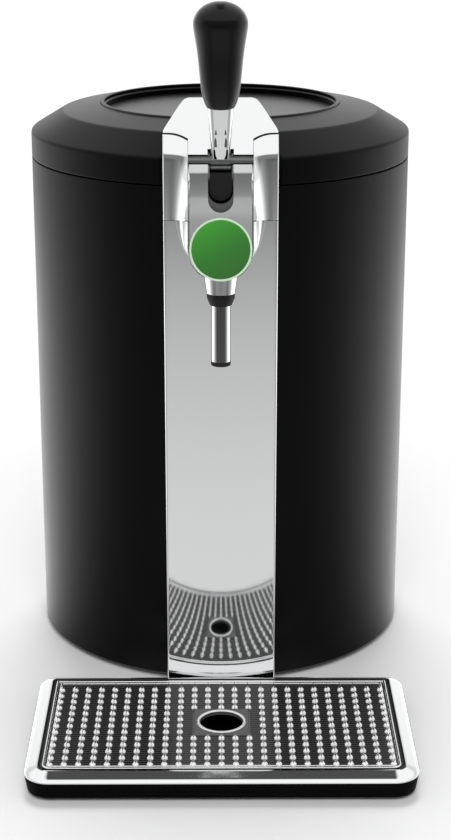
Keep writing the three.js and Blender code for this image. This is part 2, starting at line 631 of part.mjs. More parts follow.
function makeTapHousing() {
  const loops = levels(head.parting - overrun, head.leanStart, facets.post)
    .concat(levels(head.leanStart, head.postTop, facets.lean).slice(1))
    .map((height) => headLoop(height, () => columnHalf, head.back));
  const posts = common(loft(loops), partingHalf(true));
  const deep = [-spout.axis - head.bossDepth, 0];
  const pocket = middle(pocketHalf, deep, [0, head.postTop + overrun]);
  const wall = middle(pocketHalf + overrun / 2, [-head.back - head.backWall, -head.back],
    [head.backWallBottom, head.backWallTop]);
  const sky = [-1, 1].map((side) => {
    const crown = postCrown(nose.sideGap).map(([across, height]) => [side * across, height]);
    const top = head.postTop + overrun;
    const right = [...crown, [side * (pocketHalf - overrun), top], [side * (columnHalf + overrun), top]];
    return prismY(outline(right), ...deep);
  });
  const reach = lever.pinHalf + gap;
  const bore = turnedAlongX(rod(lever.pinRadius + gap, -reach, reach), facets.bore);
  return cut(join(cut(posts, pocket), wall), ...sky, bore.translate(0, -lever.back, lever.height));
}

function makeBadgeBoss() {
  const shell = cut(capsule(head.ridgeHalf, head.bossDepth, 0), capsule(pocketHalf, head.bossDepth + overrun, overrun));
  const seat = turned(rod(chassisRadius + gap, 0, head.postTop), facets.cutter);
  const loops = levels(head.flankLow, head.leanStart, facets.flank)
    .map((height) => headLoop(height, (footHalf) => footHalf + sliver, column.flangeBack));
  const skin = turned(rod(column.skinRadius + gap, 0, head.postTop), facets.cutter);
  const flanks = cut(loft(loops), skin, capsule(pocketHalf, head.bossDepth + overrun, overrun));
  return cut(common(join(cut(shell, seat), flanks), partingHalf(false)), lineHole());
}

function makeTapFace() {
  const front = (height) => ridgeY(height) + face.recess;
  const lipStart = face.top - face.lipRadius;
  const lipY = ridgeY(lipStart) + face.topRecess;
  const bend = (face.bendHeight + lipStart) / 2;
  const lipBack = -lever.back - lever.pinRadius - gap;
  const shape = new THREE.Shape();
  shape.moveTo(front(spout.ringBottom), spout.ringBottom);
  shape.lineTo(front(face.bendHeight), face.bendHeight);
  shape.quadraticCurveTo(front(bend), bend, lipY, lipStart);
  shape.quadraticCurveTo(lipY, face.top, lipY + face.lipRadius, face.top);
  shape.lineTo(lipBack, face.top);
  shape.lineTo(lipBack, face.top - face.lipDepth);
  shape.lineTo(-face.back, face.top - face.lipDepth);
  shape.lineTo(-face.back, spout.ringBottom);
  shape.closePath();
  const body = common(capsule(faceHalf, head.bossDepth * 2, overrun), prismX(shape, -faceHalf, faceHalf));
  const seat = turned(rod(chassisRadius + gap, 0, column.chassisTop + gap), facets.cutter);
  const slotTop = face.top + overrun;
  const slotAxis = face.slotBottom + face.slotHalf;
  const slot = new THREE.Shape();
  slot.moveTo(face.slotHalf, slotTop);
  slot.lineTo(-face.slotHalf, slotTop);
  slot.lineTo(-face.slotHalf, slotAxis);
  slot.absarc(0, slotAxis, face.slotHalf, Math.PI, Math.PI * 2, false);
  slot.closePath();
  return cut(body, seat, prismY(slot, -spout.axis - head.bossDepth, 0), lineHole());
}

// Beer line: back from the tap to the keg well, and down the spout

function linePath() {
  const bendAxis = [-spout.axis + line.bend, line.height - line.bend];
  const quarter = Array.from({ length: facets.bend + 1 }, (_, k) => {
    const angle = (k / facets.bend) * (Math.PI / 2);
    return new THREE.Vector3(0, bendAxis[0] - line.bend * Math.sin(angle), bendAxis[1] + line.bend * Math.cos(angle));
  });
  return quarter;
}

function sweptLine(radius, start, end) {
  const ring = (place, along) => {
    const side = new THREE.Vector3().crossVectors(along, axisX).normalize();
    return Array.from({ length: facets.tiny }, (_, k) => {
      const angle = (k / facets.tiny) * Math.PI * 2;
      return place.clone().addScaledVector(axisX, radius * Math.cos(angle)).addScaledVector(side, radius * Math.sin(angle));
    });
  };
  const bends = linePath();
  const path = [new THREE.Vector3(0, -start, line.height), ...bends, new THREE.Vector3(0, -spout.axis, end)];
  const loops = path.map((place, k) => {
    const angle = THREE.MathUtils.clamp((k - 1) / facets.bend, 0, 1) * (Math.PI / 2);
    return ring(place, new THREE.Vector3(0, -Math.cos(angle), -Math.sin(angle)));
  });
  return loftAcross(loops);
}

// A loft whose end loops needn't be level: each is closed by a fan
function loftAcross(loops) {
  const count = loops[0].length;
  const skin = loft(loops, true);
  const faces = Array.from(skin.index.array).slice(0, (loops.length - 1) * count * 6);
  const last = (loops.length - 1) * count;
  for (let k = 1; k < count - 1; k += 1) faces.push(0, k + 1, k, last, last + k, last + k + 1);
  skin.setIndex(faces);
  return skin;
}

const lineHole = () => sweptLine(line.radius + slack, block.back, spout.tipTop);

function makeBeerLine() {
  return sweptLine(line.radius, line.start, line.end);
}

function makeLineNozzle() {
  const flangeFront = -line.start + gap;
  const flangeBack = flangeFront + line.flangeWall;
  const tip = -line.nozzleTip;
  const profile = [[0, flangeFront], [line.flangeRadius, flangeFront], [line.flangeRadius, flangeBack],
    [line.nozzleRadius, flangeBack], [line.nozzleRadius, tip - line.barbLength], [line.barbRadius, tip - line.barbLength],
    [line.nozzleRadius - slack, tip], [0, tip]];
  return turnedAlongY(profile, facets.small).translate(0, 0, line.height);
}

function makePinchBlock() {
  const front = -face.back + gap;
  const body = middle(block.half, [front, -block.back], [column.chassisTop + gap, block.top]);
  const guideHalf = plunger.thickness / 2 + gap;
  const guide = middle(plunger.width / 2 + gap, [-plunger.back - guideHalf, -plunger.back + guideHalf],
    [line.height, block.top + overrun]);
  return cut(body, guide, lineHole());
}

function makePinchPlunger() {
  const half = plunger.thickness / 2;
  const shape = softOutline([[-plunger.back - half, plungerBottom], [-plunger.back + half, plungerBottom],
    [-plunger.back + half, plunger.top], [-plunger.back - half, plunger.top]], half / 2);
  return prismX(shape, -plunger.width / 2, plunger.width / 2, facets.arc / 2);
}

function makeBadgeDisc() {
  const seat = -face.recess * Math.cos(tilt) + gap;
  const rim = seat + badge.thickness;
  return onFront(turned([[0, seat], [badge.radius, seat], [badge.radius, rim],
    [badge.radius / 2, rim + badge.dome], [0, rim + badge.dome]], facets.ring));
}

function makeBadgeBezel() {
  const seat = -face.recess * Math.cos(tilt) + gap;
  const inner = badge.radius + gap;
  return onFront(turned(hoop(inner, inner + badge.bezelWidth, seat, seat + badge.bezelHeight), facets.ring));
}

function makeSpoutCollar() {
  const bore = spout.tubeRadius + gap;
  const cone = turned([[bore, spout.ringTop], [spout.collarLow, spout.ringTop], [spout.collarHigh, spout.collarTop],
    [bore, spout.collarTop], [bore, spout.ringTop]], facets.bore).translate(0, -spout.axis, 0);
  const skin = turned(rod(column.skinRadius + gap, spout.ringTop - overrun, spout.collarTop), facets.cutter);
  return cut(cone, skin, capsule(head.ridgeHalf + gap, head.bossDepth, overrun));
}

function makeSpoutRing() {
  const bore = spout.tubeRadius + gap;
  const land = spout.ringTop - spout.ringLand;
  return turned([[bore, spout.ringBottom], [bore + slack, spout.ringBottom], [spout.ringRadius, land],
    [spout.ringRadius, spout.ringTop - gap], [bore, spout.ringTop - gap], [bore, spout.ringBottom]], facets.bore)
    .translate(0, -spout.axis, 0);
}

function makeSpoutTube() {
  return turned(hoop(spout.tubeBore, spout.tubeRadius, spout.tipTop, spout.tubeTop), facets.bore)
    .translate(0, -spout.axis, 0);
}

function makeSpoutTip() {
  const low = spout.tipTop - spout.tipLength;
  return turned(hoop(spout.tubeBore, spout.tubeRadius - gap / 2, low, spout.tipTop), facets.bore)
    .translate(0, -spout.axis, 0);
}

// Lever

function makePivotPin() {
  return turnedAlongX(rod(lever.pinRadius, -lever.pinHalf, lever.pinHalf), facets.small)
    .translate(0, -lever.back, lever.height);
}

function stemLoop(height) {
  const share = (height - lever.height) / (lever.stemTop - lever.height);
  const width = THREE.MathUtils.lerp(lever.stemWidthLow, lever.stemWidthHigh, share) / 2;
  const depth = THREE.MathUtils.lerp(lever.stemDepthLow, lever.stemDepthHigh, share) / 2;
  return { width, depth, y: -lever.back - lever.stemLean * share, height };
}

function stemBody(swell, low, high) {
  const loops = levels(low, high, facets.stem).map(stemLoop)
    .map((at) => oval(at.width + swell, at.depth + swell, at.y, at.height, superShare));
  return loft(loops);
}

function makeLeverStem() {
  const hub = turnedAlongX(rod(lever.hubRadius, -lever.hubHalf, lever.hubHalf), facets.bore)
    .translate(0, -lever.back, lever.height);
  const reach = tipBack - lever.back;
  const finger = prismX(outline([[-lever.back, lever.height + lever.tipRadius], [-lever.back - lever.tipRadius, lever.height],
    [-lever.back - lever.tipRadius / 2, lever.height - lever.hubRadius + gap], [-tipBack - lever.tipRadius,
      tipHeight - lever.tipRadius / 2], [-tipBack, tipHeight - lever.tipRadius], [-tipBack + lever.tipRadius, tipHeight],
    [-tipBack + lever.tipRadius / 2, tipHeight + lever.tipRadius], [-lever.back - reach / 4,
      lever.height + lever.tipRadius]]), -lever.fingerHalf, lever.fingerHalf);
  const grooves = [-1, 1].map((side) => {
    const high = stemLoop((lever.height + lever.stemTop) / 2 + lever.hubRadius);
    const low = lever.height + lever.hubRadius;
    const across = side * high.width / 3;
    const front = high.y - high.depth;
    return slab([across - lever.grooveHalf, across + lever.grooveHalf], [front - overrun, front + lever.grooveDepth],
      [low, high.height]);
  });
  const bore = turnedAlongX(rod(lever.pinRadius + gap, -lever.hubHalf - overrun, lever.hubHalf + overrun), facets.bore)
    .translate(0, -lever.back, lever.height);
  return cut(join(hub, stemBody(0, lever.height, lever.stemTop), finger), ...grooves, bore);
}

function makeLeverGrip() {
  const centre = stemLoop(lever.stemTop).y;
  const loops = gripShares.map(([up, across]) => {
    const half = across * grip.halfWidth;
    return oval(half, half * grip.depthShare, centre, grip.bottom + up * grip.height, gripSuperShare, facets.bore);
  });
  const crown = oval(sliver, sliver, centre, grip.bottom + grip.height, gripSuperShare, facets.bore);
  return cut(loft([...loops, crown]), stemBody(gap, lever.height, lever.stemTop + gap));
}

// Lid

function lidProfile(swell) {
  return [[barrel.radius + swell, lidBottom - swell], [barrel.radius + swell, bandTop + swell / 2],
    [shoulderRadius + swell / 2, shoulderTop + swell], [hoopInner - swell, crownTop + swell]];
}

function makeLidShell() {
  const hoopOuter = hoopInner + lid.wall;
  const hoopLow = discBottom - lid.discWall;
  const skin = turned([...lidProfile(0), [hoopInner, hoopLow], [hoopOuter, hoopLow], [hoopOuter, crownTop - slantWall],
    [shoulderRadius, shoulderTop - slantWall], [lidInner, bandTop - lid.wall / 2],
    [lidInner, lidBottom], [barrel.radius, lidBottom]], facets.barrel);
  const full = turned([[0, lidBottom], ...lidProfile(0), [0, crownTop]], facets.barrel);
  const wall = common(full, middle(notchHalf + lid.wall, [-lidFlat, -lidFlat + lid.wall], [0, ringTop]));
  const front = middle(notchHalf, [-barrel.radius - overrun, -lidFlat], [0, ringTop]);
  return cut(join(skin, wall), front);
}

function makeLidRing() {
  const low = discBottom - lid.discWall;
  const ledge = ringInner - lid.ledgeWidth;
  return turned([[ledge, low], [lid.ringOuter, low], [lid.ringOuter, ringTop - lid.ringEdge],
    [lid.ringOuter - lid.ringEdge, ringTop], [ringInner, ringTop], [ringInner, discBottom - gap],
    [ledge, discBottom - gap], [ledge, low]], facets.barrel);
}

function makeLidDisc() {
  return turned(rod(ringInner - gap, discBottom, discTop), facets.barrel);
}

function lidFrontClear() {
  return middle(notchHalf + lid.wall + gap, [-barrel.radius - overrun, -lidFlat + lid.wall + gap], [0, ringTop]);
}

function makeLidLiner() {
  return cut(turned(rod(lidInner - gap, linerBottom, linerTop), facets.barrel), lidFrontClear());
}

function makeLidFoam() {
  return turned(rod(ringInner - lid.ledgeWidth - lid.foamWidth, linerTop + gap, discBottom - gap), facets.well);
}

function makeLidGasket() {
  return turned(hoop(lid.gasketRadius, lid.gasketRadius + lid.gasketWidth, collarTop + gap, linerBottom - gap),
    facets.ring);
}

function makeLidNose() {
  const deep = [-nose.front - overrun, -nose.heelBack + overrun];
  const inner = pocketHalf - nose.sideGap;
  const slotHalf = face.slotHalf + gap;
  const right = [[slotHalf, nose.bottom + nose.notchHeight], [slotHalf, nose.bottom], [inner, nose.bottom],
    ...postCrown(0).reverse(), [columnHalf + overrun, nose.crestHeight + overrun]];
  const left = right.map(([across, height]) => [-across, height]).reverse();
  const frontView = prismY(outline([...left, ...right]), deep[0], deep[1]);
  const sideView = prismX(outline([[-nose.front, nose.bottom - overrun], [-nose.front, nose.bottom],
    [-nose.foldBack, nose.fold], [-nose.crestBack, nose.crestHeight], [-nose.heelBack, crownTop],
    [-nose.heelBack, nose.bottom - overrun]]), -barrel.radius, barrel.radius);
  const plan = softOutline([[-nose.halfWidth, deep[0] - overrun], [nose.halfWidth, deep[0] - overrun],
    [nose.halfWidth, -nose.foldBack], [nose.crestHalf, -nose.crestBack + overrun],
    [-nose.crestHalf, -nose.crestBack + overrun], [-nose.halfWidth, -nose.foldBack]], nose.corner);
  const topView = prismZ(plan, 0, nose.crestHeight + overrun);
  const lidBody = turned([[0, linerBottom], ...lidProfile(gap), [0, crownTop + gap]], facets.barrel);
  const post = middle(notchHalf, [-lidFlat, -lidFlat + overrun], [0, linerBottom]);
  return cut(common(frontView, sideView, topView), lidBody, post);
}

// Hinge

function hingeBore() {
  return turnedAlongX(rod(hinge.pinRadius + gap, -barrel.radius, barrel.radius), facets.small)
    .translate(0, hinge.back, hinge.height);
}

function makeHingeArm() {
  const knuckle = turnedAlongX(rod(hinge.knuckleRadius, -hinge.knuckleHalf, hinge.knuckleHalf), facets.bore)
    .translate(0, hinge.back, hinge.height);
  const low = lidBottom + gap * 2;
  const near = shellInner;
  const web = prismX(outline([[near, low], [hinge.back, low], [hinge.back + hinge.knuckleRadius / 2, hinge.height
    + hinge.knuckleRadius / 2], [barrel.radius + lid.wall, low + hinge.armRise], [near, low + hinge.armRise]]),
  -hinge.knuckleHalf, hinge.knuckleHalf);
  const seat = turned(rod(barrel.radius + gap, 0, ringTop), facets.barrel);
  return cut(join(knuckle, cut(web, seat)), hingeBore());
}

function makeHingeBracket() {
  const low = rear.top + gap;
  const near = hinge.back - hinge.knuckleRadius;
  const top = hinge.height - low;
  const half = hinge.knuckleHalf + slack + hinge.earWidth;
  const plateShape = middle(half, [near, near + hinge.footDepth], [low, low + hinge.footWall]);
  const ears = [-1, 1].map((side) => {
    const shape = new THREE.Shape();
    shape.moveTo(near, low);
    shape.lineTo(near + hinge.footDepth, low);
    shape.lineTo(near + hinge.footDepth, low + hinge.footWall);
    shape.lineTo(hinge.back + hinge.knuckleRadius, low + top / 2);
    shape.absarc(hinge.back, hinge.height, hinge.knuckleRadius, 0, Math.PI, false);
    shape.closePath();
    const inner = side > 0 ? half - hinge.earWidth : -half;
    return prismX(shape, inner, inner + hinge.earWidth);
  });
  return cut(join(plateShape, ...ears), hingeBore());
}

function makeHingePin() {
  return turnedAlongX(rod(hinge.pinRadius, -hinge.pinHalf, hinge.pinHalf), facets.small)
    .translate(0, hinge.back, hinge.height);
}

// Cooling unit and rear housing

function makeColdBlock() {
  const tall = cooler.blockTall / 2;
  const body = middle(cooler.blockHalf, [well.radius / 2, blockBack], [cooler.height - tall, cooler.height + tall]);
  return cut(body, turned(rod(wellOuter + gap, 0, well.rim), facets.well));
}

function makeChip() {
  const half = cooler.chipHalf;
  return middle(half, [blockBack + gap, chipBack], [cooler.height - half, cooler.height + half]);
}

function makeHeatSink() {
  const tip = finFront + cooler.finDepth;
  const pitch = (cooler.sinkHalf * 2 - cooler.finWall) / (cooler.fins - 1);
  const points = [[cooler.sinkHalf, sinkFront], [-cooler.sinkHalf, sinkFront]];
  for (let k = 0; k < cooler.fins; k += 1) {
    const left = -cooler.sinkHalf + k * pitch;
    if (k > 0) points.push([left, finFront]);
    points.push([left, tip], [left + cooler.finWall, tip]);
    if (k < cooler.fins - 1) points.push([left + cooler.finWall, finFront]);
  }
  return prismZ(outline(points), cooler.height - cooler.sinkTall / 2, cooler.height + cooler.sinkTall / 2);
}

function makeFanFrame() {
  const half = fan.size / 2;
  const strutFront = fanBack - fan.strutDepth;
  const body = middle(half, [fanFront, fanBack], [-half, half]);
  const bore = turnedAlongY(rod(fan.bore, fanFront - overrun, fanBack + overrun), facets.well);
  const struts = Array.from({ length: fan.struts / 2 }, (_, k) => middle(fan.bore + overrun / 2, [strutFront, fanBack],
    [-fan.strutWidth / 2, fan.strutWidth / 2]).rotateY((k / fan.struts + 1 / (fan.struts * 2)) * Math.PI * 2));
  const hub = turnedAlongY(rod(fan.hub, strutFront, fanBack), facets.bore);
  const axle = turnedAlongY(rod(fan.axle, fanFront + fan.depth / 3, fanBack), facets.tiny);
  return join(cut(body, bore), ...struts, hub, axle).translate(0, 0, cooler.height);
}

function makeFanRotor() {
  const front = fanFront + slack;
  const back = front + fan.rotorDepth;
  const hub = turnedAlongY(rod(fan.hub, front, back), facets.bore);
  const centre = (front + back) / 2;
  const blades = Array.from({ length: fan.blades }, (_, k) => {
    const blade = slab([fan.hub - slack * 2, fan.bladeRadius], [-fan.bladeWall / 2, fan.bladeWall / 2],
      [-fan.chord / 2, fan.chord / 2]);
    return blade.rotateX(radians(fan.pitchDeg)).translate(0, centre, 0).rotateY((k / fan.blades) * Math.PI * 2);
  });
  const swept = turnedAlongY(rod(fan.bladeRadius, front, back), facets.well);
  const bore = turnedAlongY(rod(fan.axle + gap, fanFront + fan.depth / 3 - gap, fanBack), facets.small);
  return cut(common(join(hub, ...blades), swept), bore).translate(0, 0, cooler.height);
}

function makeRearHousing() {
  const near = shellInner - overrun;
  const plan = (half, back, radius) => {
    const shape = new THREE.Shape();
    shape.moveTo(-half, near - overrun);
    shape.lineTo(half, near - overrun);
    shape.absarc(half - radius, back - radius, radius, 0, Math.PI / 2, false);
    shape.absarc(-half + radius, back - radius, radius, Math.PI / 2, Math.PI, false);
    shape.closePath();
    return shape;
  };
  const outer = prismZ(plan(rear.half, rear.back, rear.corner), rear.bottom, rear.top);
  const inner = prismZ(plan(rear.half - rear.wall, rear.back - rear.wall, rear.corner - rear.wall),
    rear.bottom + rear.wall, rear.top - rear.wall);
  const seat = turned(rod(barrel.radius + gap, 0, barrel.top), facets.barrel);
  const deep = [rear.back - rear.corner, rear.back + overrun];
  const ventHalf = vent.half + gap;
  const ventHole = middle(ventHalf, deep, [cooler.height - ventHalf, cooler.height + ventHalf]);
  const sockets = [inlet, toggle].map((part) => slab([part.x - part.half - gap, part.x + part.half + gap], deep,
    [part.height - part.tall / 2 - gap, part.height + part.tall / 2 + gap]));
  return cut(outer, inner, seat, ventHole, ...sockets);
}

function makeVentGrille() {
  const body = middle(vent.half, [rear.back - vent.wall, rear.back], [-vent.half, vent.half]);
  const clear = (vent.half - vent.border) * 2;
  const pitch = (clear - vent.slotTall) / (vent.slots - 1);
  const slots = Array.from({ length: vent.slots }, (_, k) => {
    const low = -vent.half + vent.border + k * pitch;
    return middle(vent.half - vent.border, [rear.back - vent.wall - overrun, rear.back + overrun], [low, low + vent.slotTall]);
  });
  return cut(body, ...slots).translate(0, 0, cooler.height);
}

// A socket body that passes through the housing's rear wall, with a flange outside
function rearInsert(part) {
  const tall = part.tall / 2;
  const over = part.flangeOver;
  const body = middle(part.half, [rear.back - part.depth, rear.back + gap * 2], [-tall, tall]);
  const flange = middle(part.half + over, [rear.back + gap, rear.back + gap + part.flange], [-tall - over, tall + over]);
  return join(body, flange);
}

function makePowerInlet() {
  const mouth = rear.back + gap + inlet.flange;
  const floor = mouth - inlet.recess;
  const hollow = middle(inlet.recessHalf, [floor, mouth + overrun], [-inlet.recessTall / 2, inlet.recessTall / 2]);
  const pins = [-1, 1].map((side) => turnedAlongY(rod(inlet.pinRadius, floor - slack, floor + inlet.pinLength), facets.tiny)
    .translate(side * inlet.pinPitch / 2, 0, 0));
  return join(cut(rearInsert(inlet), hollow), ...pins).translate(inlet.x, 0, inlet.height);
}

function makeSwitchBezel() {
  const mouth = rear.back + gap + toggle.flange;
  const hollow = middle(toggle.half - toggle.wall, [mouth - toggle.pocket, mouth + overrun],
    [-toggle.tall / 2 + toggle.wall, toggle.tall / 2 - toggle.wall]);
  return cut(rearInsert(toggle), hollow).translate(toggle.x, 0, toggle.height);
}

function makeSwitchRocker() {
  const pivot = rear.back + gap + toggle.flange - toggle.rockDepth;
  const half = toggle.tall / 2 - toggle.wall - slack * 2;
  const sag = Math.tan(radians(toggle.restDeg)) * half;
  const end = toggle.rockDepth + slack * 2;
  const shape = outline([[end, -half], [end - sag, 0], [end, half], [-slack * 2, half / 2], [-slack * 2, -half / 2]]);
  const across = toggle.half - toggle.wall - slack;
  return prismX(shape, -across, across).rotateX(-radians(toggle.restDeg)).translate(toggle.x, pivot, toggle.height);
}

function makePowerSupply() {
  const deep = supply.deep / 2;
  const shape = softOutline([[-supply.half, supply.y - deep], [supply.half, supply.y - deep],
    [supply.half, supply.y + deep], [-supply.half, supply.y + deep]], supply.corner);
  return prismZ(shape, baseTop + gap, baseTop + gap + supply.tall, facets.corner);
}

function makeControlBoard() {
  const low = baseTop + board.bossHeight + gap;
  return middle(board.half, [board.y - board.deep / 2, board.y + board.deep / 2], [low, low + board.wall]);
}

// Drip tray

function makeTrayBase() {
  const top = tray.lip - gap;
  const outer = loft([trayLoop(tray.inset + tray.draft, tray.footHeight), trayLoop(tray.inset, top)]);
  const inner = loft([trayLoop(tray.inset + tray.draft + tray.wall, floorTop),
    trayLoop(tray.inset + tray.wall, top + sliver)]);
  const across = trayHalf - tray.footInset;
  const feet = [-tray.front + tray.footInset, -tray.back - tray.footInset].flatMap((y) => [-across, across]
    .map((x) => turned(rod(tray.footRadius, 0, floorTop - slack), facets.small).translate(x, y, 0)));
  const tongue = middle(tray.tongueHalf, [-tray.back - tray.inset - tray.draft - tray.wall, -tray.back + tray.tongueLength],
    [tray.tongueBottom, tray.tongueTop]);
  return join(cut(outer, inner), ...feet, tongue);
}

function makeTrayRim() {
  const step = tray.slope + tray.crestWidth;
  const profile = [[0, tray.lip], [0, tray.edge], [tray.slope, tray.crest], [step, tray.crest], [step, ledgeTop],
    [step + tray.stepWidth, ledgeTop], [step + tray.stepWidth, tray.ledge], [tray.slope, tray.ledge],
    [tray.lipWidth, tray.lip]];
  return loft(profile.map(([inset, height]) => trayLoop(inset, height)), true);
}

function plateBand(start, width, low, high) {
  const shape = traySection(start);
  shape.holes.push(traySection(start + width));
  return prismZ(shape, low, high);
}

function makeDripGrille() {
  const inset = plateInset;
  const sheet = prismZ(traySection(inset), plateBottom, plateTop);
  const roll = plateBand(inset, plate.rollWidth, plateBottom, plateHigh);
  const margin = plateBand(inset + plate.rollWidth + plate.grooveWidth, plate.marginWidth, plateBottom, plateHigh);
  const square = middle(pad.halfWidth, [-pad.centre - pad.halfDepth, -pad.centre + pad.halfDepth], [plateBottom, plateHigh]);
  const rollRing = turned(hoop(pad.hole - slack, pad.hole + pad.rollWidth, plateBottom, plateHigh + pad.rollRise),
    facets.bore).translate(0, -pad.centre, 0);
  const hole = turned(rod(pad.hole, 0, plateHigh + overrun), facets.bore).translate(0, -pad.centre, 0);
  return cut(join(sheet, roll, margin, square, dimples(), rollRing), hole);
}

function dimples() {
  const cones = [];
  const cone = closed(turned([[0, plateTop - dimple.sink], [dimple.radius, plateTop - dimple.sink],
    [0, plateTop + dimple.height]], dimple.sides));
  for (let column = 0; column < dimple.columns; column += 1) {
    for (let row = 0; row < dimple.rows; row += 1) {
      const x = (column - (dimple.columns - 1) / 2) * dimple.pitchX;
      const y = -dimple.front + row * dimple.pitchY;
      const onPad = Math.abs(x) < pad.halfWidth - dimple.radius && Math.abs(y + pad.centre) < pad.halfDepth;
      if (!onPad) cones.push(cone.clone().translate(x, y, 0));
    }
  }
  return mergeGeometries(cones);
}

// Finishes

const finish = {
  blackSatin: { color: 0x1b1b1c, roughness: 0.42, metalness: 0 },
  blackGloss: { color: 0x0b0b0c, roughness: 0.08, metalness: 0 },
  blackPlastic: { color: 0x151516, roughness: 0.6, metalness: 0 },
  chrome: { color: 0xd9dadc, roughness: 0.08, metalness: 1 },
  polishedSteel: { color: 0xc4c5c7, roughness: 0.12, metalness: 1 },
  satinSteel: { color: 0xa9aaac, roughness: 0.35, metalness: 1 },
  aluminium: { color: 0xb5b7ba, roughness: 0.4, metalness: 1 },
  darkSteel: { color: 0x55575a, roughness: 0.35, metalness: 1 },
  rubber: { color: 0x18181a, roughness: 0.85, metalness: 0 },
  foam: { color: 0xe9e7df, roughness: 0.95, metalness: 0 },
  silicone: { color: 0xd8d8d4, roughness: 0.5, metalness: 0 },
  green: { color: 0x2f8f34, roughness: 0.3, metalness: 0 },
  greyPlastic: { color: 0x8d8f92, roughness: 0.5, metalness: 0 },
  ceramic: { color: 0xeeeeea, roughness: 0.6, metalness: 0 },
  boardGreen: { color: 0x1d5a3a, roughness: 0.55, metalness: 0 },
};

const dispenser = new THREE.Group();

function add(name, geometry, look) {
  const skin = closed(geometry).toNonIndexed();
  skin.computeVertexNormals();
  const mesh = new THREE.Mesh(skin, new THREE.MeshStandardMaterial(look));
  mesh.name = name;
  dispenser.add(mesh);
}

// Assembly

Object.entries(footPlaces()).forEach(([name, [x, y]]) => add(name, makeFoot().translate(x, y, 0), finish.rubber));
add('barrel_shell', makeBarrelShell(), finish.blackSatin);
add('base_plate', makeBasePlate(), finish.blackPlastic);
add('keg_well', makeKegWell(), finish.aluminium);
add('insulation_jacket', makeInsulation(), finish.foam);
add('well_collar', makeWellCollar(), finish.blackPlastic);
add('column_chassis', makeColumnChassis(), finish.blackPlastic);
add('column_panel', makeColumnPanel(), finish.polishedSteel);
add('tap_housing', makeTapHousing(), finish.chrome);
add('badge_boss', makeBadgeBoss(), finish.chrome);
add('tap_face', makeTapFace(), finish.satinSteel);
add('badge_disc', makeBadgeDisc(), finish.green);
add('badge_bezel', makeBadgeBezel(), finish.chrome);
add('spout_collar', makeSpoutCollar(), finish.chrome);
add('spout_ring', makeSpoutRing(), finish.blackPlastic);
add('spout_tube', makeSpoutTube(), finish.chrome);
add('spout_tip', makeSpoutTip(), finish.rubber);
add('beer_line', makeBeerLine(), finish.silicone);
add('line_nozzle', makeLineNozzle(), finish.greyPlastic);
add('pinch_block', makePinchBlock(), finish.blackPlastic);
add('pinch_plunger', makePinchPlunger(), finish.greyPlastic);
add('pivot_pin', makePivotPin(), finish.darkSteel);
add('lever_stem', makeLeverStem(), finish.chrome);
add('lever_grip', makeLeverGrip(), finish.blackGloss);
add('lid_shell', makeLidShell(), finish.blackSatin);
add('lid_ring', makeLidRing(), finish.blackGloss);
add('lid_disc', makeLidDisc(), finish.blackSatin);
add('lid_liner', makeLidLiner(), finish.blackPlastic);
add('lid_insulation', makeLidFoam(), finish.foam);
add('lid_gasket', makeLidGasket(), finish.rubber);
add('lid_nose', makeLidNose(), finish.chrome);
add('lid_hinge_arm', makeHingeArm(), finish.blackPlastic);
add('hinge_bracket', makeHingeBracket(), finish.blackPlastic);
add('hinge_pin', makeHingePin(), finish.darkSteel);
add('cold_block', makeColdBlock(), finish.aluminium);
add('peltier_module', makeChip(), finish.ceramic);
add('heat_sink', makeHeatSink(), finish.aluminium);
add('fan_frame', makeFanFrame(), finish.blackPlastic);
add('fan_rotor', makeFanRotor(), finish.blackPlastic);
add('rear_housing', makeRearHousing(), finish.blackPlastic);
add('vent_grille', makeVentGrille(), finish.blackPlastic);
add('power_inlet', makePowerInlet(), finish.blackPlastic);
add('switch_bezel', makeSwitchBezel(), finish.blackPlastic);
add('switch_rocker', makeSwitchRocker(), finish.blackGloss);
add('power_supply', makePowerSupply(), finish.greyPlastic);
add('control_board', makeControlBoard(), finish.boardGreen);
add('tray_base', makeTrayBase(), finish.blackPlastic);
add('tray_rim', makeTrayRim(), finish.chrome);
add('drip_grille', makeDripGrille(), finish.polishedSteel);

// The part's origin is under the middle of its bounding box
dispenser.position.y = (tray.front - rearMost) / 2;

export default dispenser;
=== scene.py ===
import json
import math

import bpy
from mathutils import Matrix, Vector

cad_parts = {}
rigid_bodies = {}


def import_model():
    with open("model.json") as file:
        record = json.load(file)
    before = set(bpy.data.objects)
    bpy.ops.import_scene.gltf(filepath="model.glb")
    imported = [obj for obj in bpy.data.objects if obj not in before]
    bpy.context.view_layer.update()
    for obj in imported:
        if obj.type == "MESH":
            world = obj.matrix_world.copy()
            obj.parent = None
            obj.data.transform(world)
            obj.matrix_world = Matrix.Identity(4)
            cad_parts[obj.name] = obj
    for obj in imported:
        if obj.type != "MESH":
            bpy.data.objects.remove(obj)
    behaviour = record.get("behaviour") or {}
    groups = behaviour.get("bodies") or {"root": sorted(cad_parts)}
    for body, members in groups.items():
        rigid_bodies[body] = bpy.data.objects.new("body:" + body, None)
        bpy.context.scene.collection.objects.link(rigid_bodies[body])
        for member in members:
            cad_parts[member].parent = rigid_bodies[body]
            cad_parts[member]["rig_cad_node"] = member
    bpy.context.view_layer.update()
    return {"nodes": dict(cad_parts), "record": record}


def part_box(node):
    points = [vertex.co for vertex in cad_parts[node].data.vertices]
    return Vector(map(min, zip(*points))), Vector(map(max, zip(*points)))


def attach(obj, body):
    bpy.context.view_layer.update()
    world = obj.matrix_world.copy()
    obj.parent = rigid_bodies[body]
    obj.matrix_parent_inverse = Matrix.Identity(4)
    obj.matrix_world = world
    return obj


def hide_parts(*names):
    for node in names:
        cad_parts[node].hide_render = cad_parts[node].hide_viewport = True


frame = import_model()

mm = 0.001

# Places read from the frame

